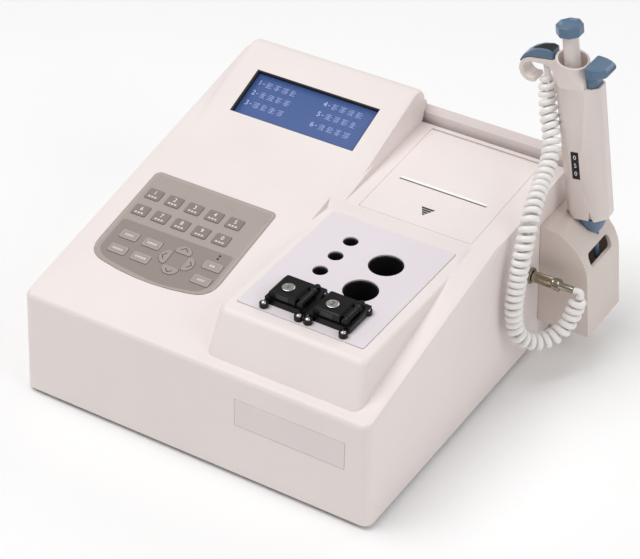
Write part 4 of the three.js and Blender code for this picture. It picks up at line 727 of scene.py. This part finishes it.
# The cover's long faces are shaded by their size, so that its rounds stay clean
cover = softened("top_cover", casing, edge=1.4, angle=42, rounded_first=rounded_ridge)
even = cover.modifiers.new("even_faces", "WEIGHTED_NORMAL")
even.keep_sharp = True
softened("printer_cover", casing, edge=0.35)
softened("badge_plate", badge_plastic, edge=0.4)
softened("pipette_holder", holder_plastic, edge=1.2)
softened("well_plate", plate_plastic, edge=0.25)
softened("keypad_overlay", overlay_surface(), edge=0.12)
for node in ("foot_front_left", "foot_front_right", "foot_rear_left", "foot_rear_right"):
    softened(node, rubber, edge=0.6)
dress(steel, "base_pan")

# Inside: heater, boards, supply and printer
softened("heating_block", well_black)
dress(board_surface(), "keypad_board", "detector_board", "main_board")
dress(steel, "power_supply")
dress(dark_plastic, "printer_frame")
softened("platen_roller", rubber, edge=0.6)
softened("paper_roll", paper, edge=0.4)
dress(paper, "paper_strip")

# Display: module, pane and a dark band round the window's edge, painted shade on the window's walls
dress(dark_plastic, "display_module")
dress(pane_surface(), "display_window")
WINDOW_DEPTH = 3
rim = [(41.02, 27.32), (159.98, 27.32), (159.98, 73.88), (41.02, 73.88)]
inner_rim = [(43.0, 27.7), (159.5, 27.7), (159.5, 72.5), (43.0, 72.5)]
# Painted shade: the dark band is widest at the top and the left, where the window's walls lie in shadow
outline_slab("window_edge_painted_shade", rim, -WINDOW_DEPTH - 0.2, -0.12, HOOD, painted_shade_and_dark_window, "base", inner_rim)

# Display picture: plain numerals, each with a dash and four glyphs of short strokes and a post
PANE_THICKNESS = 2
MODULE_GAP = 0.3
MODULE_RECESS = 1.5
PICTURE_THICKNESS = 0.4
MARK_THICKNESS = 0.06
MENU_LEFTS = (46.2, 110.4)
MENU_HEIGHTS = (66.0, 55.0, 43.6)
GLYPH_START = 6.4
GLYPH_PITCH = 7.8
GLYPH_WIDTH = 6
STROKE_LOW = -2.7
STROKE_PITCH = 1.6
STROKE_WIDTH = 0.55
STROKE_SHORTER = 0.6
POST_START = 1.2
POST_STEP = 1.5
POST_WIDTH = 0.5
MENU_NUMERAL = 7.2
screen_low = -WINDOW_DEPTH - MODULE_GAP - PANE_THICKNESS - MODULE_GAP - MODULE_RECESS
screen_high = screen_low + PICTURE_THICKNESS
block("screen_picture", (38, 24.4, screen_low), (163, 76.8, screen_high), HOOD, screen_surface(), "base")
line_tones = (tone(120, 134, 178), tone(150, 162, 200))
line_glows = (tone(140, 154, 208), tone(178, 190, 228))
lit_line = lit_surface("lit_line", 0.7, line_tones, line_glows)
numeral_tones = (tone(150, 165, 200), tone(180, 192, 220))
numeral_glows = (tone(160, 178, 220), tone(190, 204, 236))
lit_numeral = lit_surface("lit_numeral", 0.8, numeral_tones, numeral_glows)
for index in range(6):
    number = index + 1
    column, row = divmod(index, 3)
    spot = shifted(HOOD, MENU_LEFTS[column], MENU_HEIGHTS[row], screen_high + MARK_THICKNESS)
    lettering(f"menu_number_{number}", str(number), MENU_NUMERAL, spot, lit_numeral, "base")
    block(f"menu_dash_{number}", (2.6, -0.4, 0), (4.8, 0.4, MARK_THICKNESS), spot, lit_line, "base")
    for glyph in range(4):
        start = GLYPH_START + glyph * GLYPH_PITCH
        for stroke in range(4):
            low = STROKE_LOW + stroke * STROKE_PITCH
            shrink = (glyph * 3 + stroke * 2 + index) % 4 * STROKE_SHORTER
            left, right = start + shrink / 2, start + GLYPH_WIDTH - shrink
            name = f"menu_bar_{number}_{glyph + 1}_{stroke + 1}"
            block(name, (left, low, 0), (right, low + STROKE_WIDTH, MARK_THICKNESS), spot, lit_line, "base")
        post = start + POST_START + (glyph + index) % 3 * POST_STEP
        name = f"menu_post_{number}_{glyph + 1}"
        block(name, (post, -2.9, 0), (post + POST_WIDTH, 3.0, 0.05), spot, lit_line, "base")

# Keys: rounded caps and their plain marks, placed from the keypad sheet's front left corner
KEY_TOP = 0.9
KEY_PITCH = 19.4
KEY_FIRST = (13.3, 64.7)
KEY_ROW_LENGTH = 5
PRINT_HALF = 0.03
PRINT_HEIGHT = KEY_TOP + PRINT_HALF
KEY_NUMERAL = 5.6
KEY_NUMERAL_UP = 1.6
KEY_LETTERS_DOWN = 3.0
LETTER_PITCH = 2.9
LETTER_WIDTH = 2.0
MODE_LETTER_GAP = 0.7
MODE_PLACES = [(21.2, 37.4), (43.2, 37.4), (21.2, 21.0), (43.2, 21.0), (100.5, 37.4), (100.5, 21.0)]
MODE_WORD_WIDTHS = (8.0, 9.0, 9.6, 10.4, 5.0, 7.0)
MODE_WORD_LETTERS = (4, 4, 5, 5, 2, 4)
ARROW_MIDDLE = (71, 30.8)
LAMP_ACROSS = 99.5
LAMP_ALONG = (49.4, 46.2)


def key_print(name, low, high, half_height, spot, body):
    """A small bar printed on a key in place of a letter."""
    block(name, (low, -half_height, -PRINT_HALF), (high, half_height, PRINT_HALF), spot, print_grey, body)


for digit in range(10):
    node = f"number_key_{digit}"
    body = node + "_body"
    softened(node, key_dark, edge=0.25)
    row, column = divmod((digit - 1) % 10, KEY_ROW_LENGTH)
    across = KEY_FIRST[0] + column * KEY_PITCH
    along = KEY_FIRST[1] + (1 - row) * KEY_PITCH
    spot = shifted(DECK, across, along + KEY_NUMERAL_UP, PRINT_HEIGHT)
    lettering(f"key_numeral_{digit}", str(digit), KEY_NUMERAL, spot, print_white, body)
    spot = shifted(DECK, across, along - KEY_LETTERS_DOWN, PRINT_HEIGHT)
    for letter in range(3):
        low = (letter - 1) * LETTER_PITCH - LETTER_WIDTH / 2
        key_print(f"key_mark_{digit}_{letter + 1}", low, low + LETTER_WIDTH, 0.8, spot, body)

ring_outside = rounded_outline(15.4, 7.8, 1.4)
ring_inside = rounded_outline(14.7, 7.1, 1.1)
for index, (across, along) in enumerate(MODE_PLACES):
    node = f"mode_key_{index + 1}"
    body = node + "_body"
    softened(node, key_light, edge=0.25)
    spot = shifted(DECK, across, along, PRINT_HEIGHT)
    ring_name = f"mode_ring_{index + 1}"
    outline_slab(ring_name, ring_outside, -PRINT_HALF, PRINT_HALF, spot, print_faint, body, ring_inside)
    width = MODE_WORD_WIDTHS[index]
    pitch = width / MODE_WORD_LETTERS[index]
    for letter in range(MODE_WORD_LETTERS[index]):
        low = -width / 2 + letter * pitch
        high = low + pitch - MODE_LETTER_GAP
        key_print(f"mode_mark_{index + 1}_{letter + 1}", low, high, 1.0, spot, body)

chevron = [(10.6, 3.2), (13.3, 0), (10.6, -3.2), (11.2, -3.5), (14.2, 0), (11.2, 3.5)]
for index, way in enumerate(("right", "up", "left", "down")):
    node = f"arrow_key_{way}"
    softened(node, key_light, edge=0.25)
    spot = shifted(DECK, *ARROW_MIDDLE, PRINT_HEIGHT, index * math.pi / 2)
    outline_slab(f"arrow_mark_{way}", chevron, -PRINT_HALF, PRINT_HALF, spot, print_dark, node + "_body")
lamp = [(1.1, 0.0), (1.0, 0.12), (0, 0.14)]
for index, along in enumerate(LAMP_ALONG):
    spot = shifted(DECK, LAMP_ACROSS, along, 0.3)
    spun(f"lamp_spot_{index + 1}", lamp, spot, print_dark, "base", steps=16)

# Measuring channels: bases, lids with a number disc and a label, screws and a stud by the hinge
LID_TOP = 12.3
DISC_MIDDLE = (14.5, 11.5)
DISC_NUMERAL = 6.2
LUG_TOP = 3.4
LUGS = (("left", 2.7, -4.2), ("right", 33.3, -4.2), ("rear", 34.4, 28.8))
LUG_SCREW = (2.3, 1.5)
STUD = (29.2, 28.6)
disc = [(5.0, -0.2), (5.0, 0.5), (4.7, 0.7), (3.9, 0.7), (3.8, 0.55), (0, 0.55)]
stud = [(2.6, 4.8), (2.6, 8.2), (2.3, 8.8), (1.3, 9.1), (0, 9.2)]
for index, matrix in enumerate(CHANNELS):
    number = index + 1
    lid = f"channel_lid_{number}"
    body = lid + "_body"
    softened(f"channel_base_{number}", channel_black, edge=0.4)
    softened(lid, channel_black, edge=0.6)
    spot = shifted(matrix, *DISC_MIDDLE, LID_TOP - 0.3)
    spun(f"number_disc_{number}", disc, spot, silver, body, steps=40)
    spot = shifted(matrix, *DISC_MIDDLE, LID_TOP + 0.29)
    lettering(f"disc_numeral_{number}", str(number), DISC_NUMERAL, spot, print_dark, body)
    block(f"lid_label_{number}", (9.4, 1.3, 6.6), (20.4, 1.6, 10.6), matrix, grey_panel, body, edge=0.1)
    for side, across, along in LUGS:
        pan_screw(f"base_screw_{side}_{number}", across, along, LUG_TOP, *LUG_SCREW, matrix)
    spot = shifted(matrix, *STUD)
    spun(f"hinge_stud_{number}", stud, spot, channel_black, "base", steps=24, edge=0.3)

# Printer cover: the feed mark, four bars that shorten downwards, and a pale lip behind the paper slot
FEED_PLACE = (243.6, 20.2)
FEED_HALF_WIDTH = 6.0
FEED_SHORTER = 1.5
FEED_FIRST = 3.9
FEED_PITCH = 2.5
FEED_HALF_BAR = 0.95
FEED_SLANT = 1.1
mark = shifted(PLATFORM, *FEED_PLACE)
for bar in range(4):
    half = FEED_HALF_WIDTH - bar * FEED_SHORTER
    high = FEED_FIRST - bar * FEED_PITCH + FEED_HALF_BAR
    low = high - 2 * FEED_HALF_BAR
    ends = [(-half, high), (-half + FEED_SLANT, low), (half - FEED_SLANT, low), (half, high)]
    outline_slab(f"feed_bar_{bar + 1}", ends, 0.0, 0.07, mark, print_black, "printer_cover_body")
block("slot_lip", (203.6, 49.0, 0.0), (282.4, 51.6, 0.45), PLATFORM, paper, "printer_cover_body", edge=0.2)

# Pipette
CROWN = [(-50.4, 146.6), (-46.5, 151.7), (-40.3, 155.5), (-33.0, 158.0), (-25.0, 158.6), (-21.2, 157.2)]


def crown_height(x):
    """Height of the inlay's top at a place along the hook."""
    for (start, low), (end, high) in zip(CROWN, CROWN[1:]):
        if start <= x <= end:
            return low + (high - low) * (x - start) / (end - start)
    return CROWN[-1][1]


softened("pipette_body", shell_plastic, edge=0.7, angle=50)
softened("hook_inlay", blue_plastic, edge=1.0)
softened("ejector", blue_plastic, edge=1.8, segments=4)
BORE_OFFSET = -7.4
BORE = shifted(PIPETTE, BORE_OFFSET, 0)
button = [
    (4.2, 171.5), (9.8, 171.5), (11.0, 172.7), (11.0, 179.7), (10.4, 180.8), (9.2, 181.0), (8.2, 180.2),
    (6.4, 179.4), (3.0, 179.1), (0, 179.0),
]
BUTTON_SIDES = 8
knob = spun(
    "plunger_button", button, BORE, blue_plastic, "plunger_knob_body",
    steps=BUTTON_SIDES, angle=20, edge=0.9, turn=math.pi / BUTTON_SIDES)
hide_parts("plunger_knob")
shaft = [
    (0, 118), (5.9, 118), (6.4, 118.6), (6.4, 170.6), (5.9, 171.2), (3.2, 171.2), (3.2, 176.2), (0, 176.2),
]
stem = spun("plunger_shaft", shaft, BORE, shell_plastic, "plunger_body")
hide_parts("plunger")
cone = [
    (0, -28), (1.5, -28), (2.3, -27.6), (2.4, -27), (2.9, -3.4), (3.4, -2.9), (7.2, 1.6), (7.7, 2.4),
    (10.8, 8.6), (11.0, 9.2), (11.0, 12.7), (0, 12.7),
]
nose = spun("nose_cone_form", cone, PIPETTE, blue_plastic, "pipette")
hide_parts("nose_cone")

# The hook inlay's recess as a dark strip that narrows along the crown, painted shade in place of a hollow,
# and the counter's digits
RECESS_RISE = 0.2
RECESS_DEPTH = 0.5
COUNTER_PLACE = (-5.4, -13.3, 70.4)
COUNTER_PITCH = 7.2
COUNTER_NUMERAL = 5.4
form = bmesh.new()
last = None
for x, left, right in ((-21.4, 5.2, -5.6), (-25, 4.9, -5.0), (-33, 3.2, -3.6), (-40.3, 0.4, -0.6)):
    low, high = crown_height(x) - RECESS_DEPTH, crown_height(x) + RECESS_RISE
    corners = [(x, left, low), (x, left, high), (x, right, high), (x, right, low)]
    ring = [form.verts.new(corner) for corner in corners]
    if last:
        for j in range(4):
            form.faces.new((last[j], last[j - 1], ring[j - 1], ring[j]))
    else:
        form.faces.new(ring)
    last = ring
form.faces.new(reversed(last))
# The strip is painted shade where the recess lies; the inlay under it has no hollow
settle("hook_recess_painted_shade", form, PIPETTE, painted_shade_and_dark_window, "pipette")
dress(painted_shade_and_dark_window, "counter_window")
upright = Matrix.Rotation(math.pi / 2, 4, "X")
for place, digit in enumerate("050"):
    across, along, high = COUNTER_PLACE
    spot = shifted(PIPETTE, across, along, high - COUNTER_PITCH * place) @ upright
    lettering(f"counter_digit_{place + 1}", digit, COUNTER_NUMERAL, spot, print_white, "pipette")

# Rear: panel, inlet, switch, serial port with its insert, contacts and two posts, and the panel's screws
PANEL_MIDDLE = 50
PANEL_FACE = 322.18
PORT_ACROSS = 158
CONTACT_PITCH = 2.6
REAR_SCREWS = ((46, 22), (254, 22), (46, -22), (254, -22))
REAR_SCREW_FOOT = -3.0
REAR_SCREW = (3.0, 1.4)
dress(steel, "rear_panel")
softened("power_inlet", dark_plastic, edge=0.5)
softened("power_switch", dark_plastic, edge=0.6)
softened("serial_port", silver, edge=0.4)
rear = placed(0, wall_at(BODY_DEPTH, PANEL_MIDDLE), PANEL_MIDDLE, -math.pi / 2 - DRAFT)
for index, (across, down) in enumerate(REAR_SCREWS):
    pan_screw(f"rear_screw_{index + 1}", across, down, REAR_SCREW_FOOT, *REAR_SCREW, rear)
port = placed(PORT_ACROSS, PANEL_FACE, PANEL_MIDDLE, -math.pi / 2)
block("port_insert", (-7.2, -3.1, 0.5), (7.2, 3.1, 2.75), port, dark_plastic, "base", edge=0.6)
contact = [(0.5, 2.7), (0.45, 2.85), (0, 2.87)]
for down, count in ((1.3, 5), (-1.3, 4)):
    for index in range(count):
        across = (index - (count - 1) / 2) * CONTACT_PITCH
        name = f"port_contact_{count}_{index + 1}"
        spun(name, contact, shifted(port, across, down), silver, "base", steps=12)
post = [(2.5, 1.4), (2.5, 3.6), (2.1, 3.9), (1.2, 3.9), (1.1, 2.9), (0, 2.8)]
for side, across in (("left", -12.5), ("right", 12.5)):
    spot = shifted(port, across, 0)
    spun(f"port_post_{side}", post, spot, silver, "base", steps=6, angle=20, edge=0.15)

# Floor and light
FLOOR_HALF = 6.0
AIM = Vector((0, 0, 0.1))
form = bmesh.new()
bmesh.ops.create_grid(form, x_segments=1, y_segments=1, size=FLOOR_HALF)
floor = settle("floor", form, Matrix.Identity(4), floor_surface(), None)


def area_light(name, place, size, power):
    """A round soft light that points at the analyzer."""
    lamp = bpy.data.lights.new(name, "AREA")
    lamp.shape = "DISK"
    lamp.size = size
    lamp.energy = power
    piece = bpy.data.objects.new(name, lamp)
    scene.collection.objects.link(piece)
    piece.location = place
    piece.rotation_mode = "QUATERNION"
    piece.rotation_quaternion = (AIM - Vector(place)).to_track_quat("-Z", "Y")


area_light("key_light", (-0.65, -0.5, 2.05), 1.6, 25.5)
area_light("side_light", (2.0, -0.3, 1.4), 1.5, 11)
area_light("back_light", (0.3, 1.8, 1.4), 1.4, 8)
world = bpy.data.worlds.new("soft_room")
world.use_nodes = True
background = world.node_tree.nodes["Background"]
background.inputs["Color"].default_value = (1, 1, 1, 1)
background.inputs["Strength"].default_value = 0.4
scene.world = world
scene.view_settings.view_transform = "Standard"
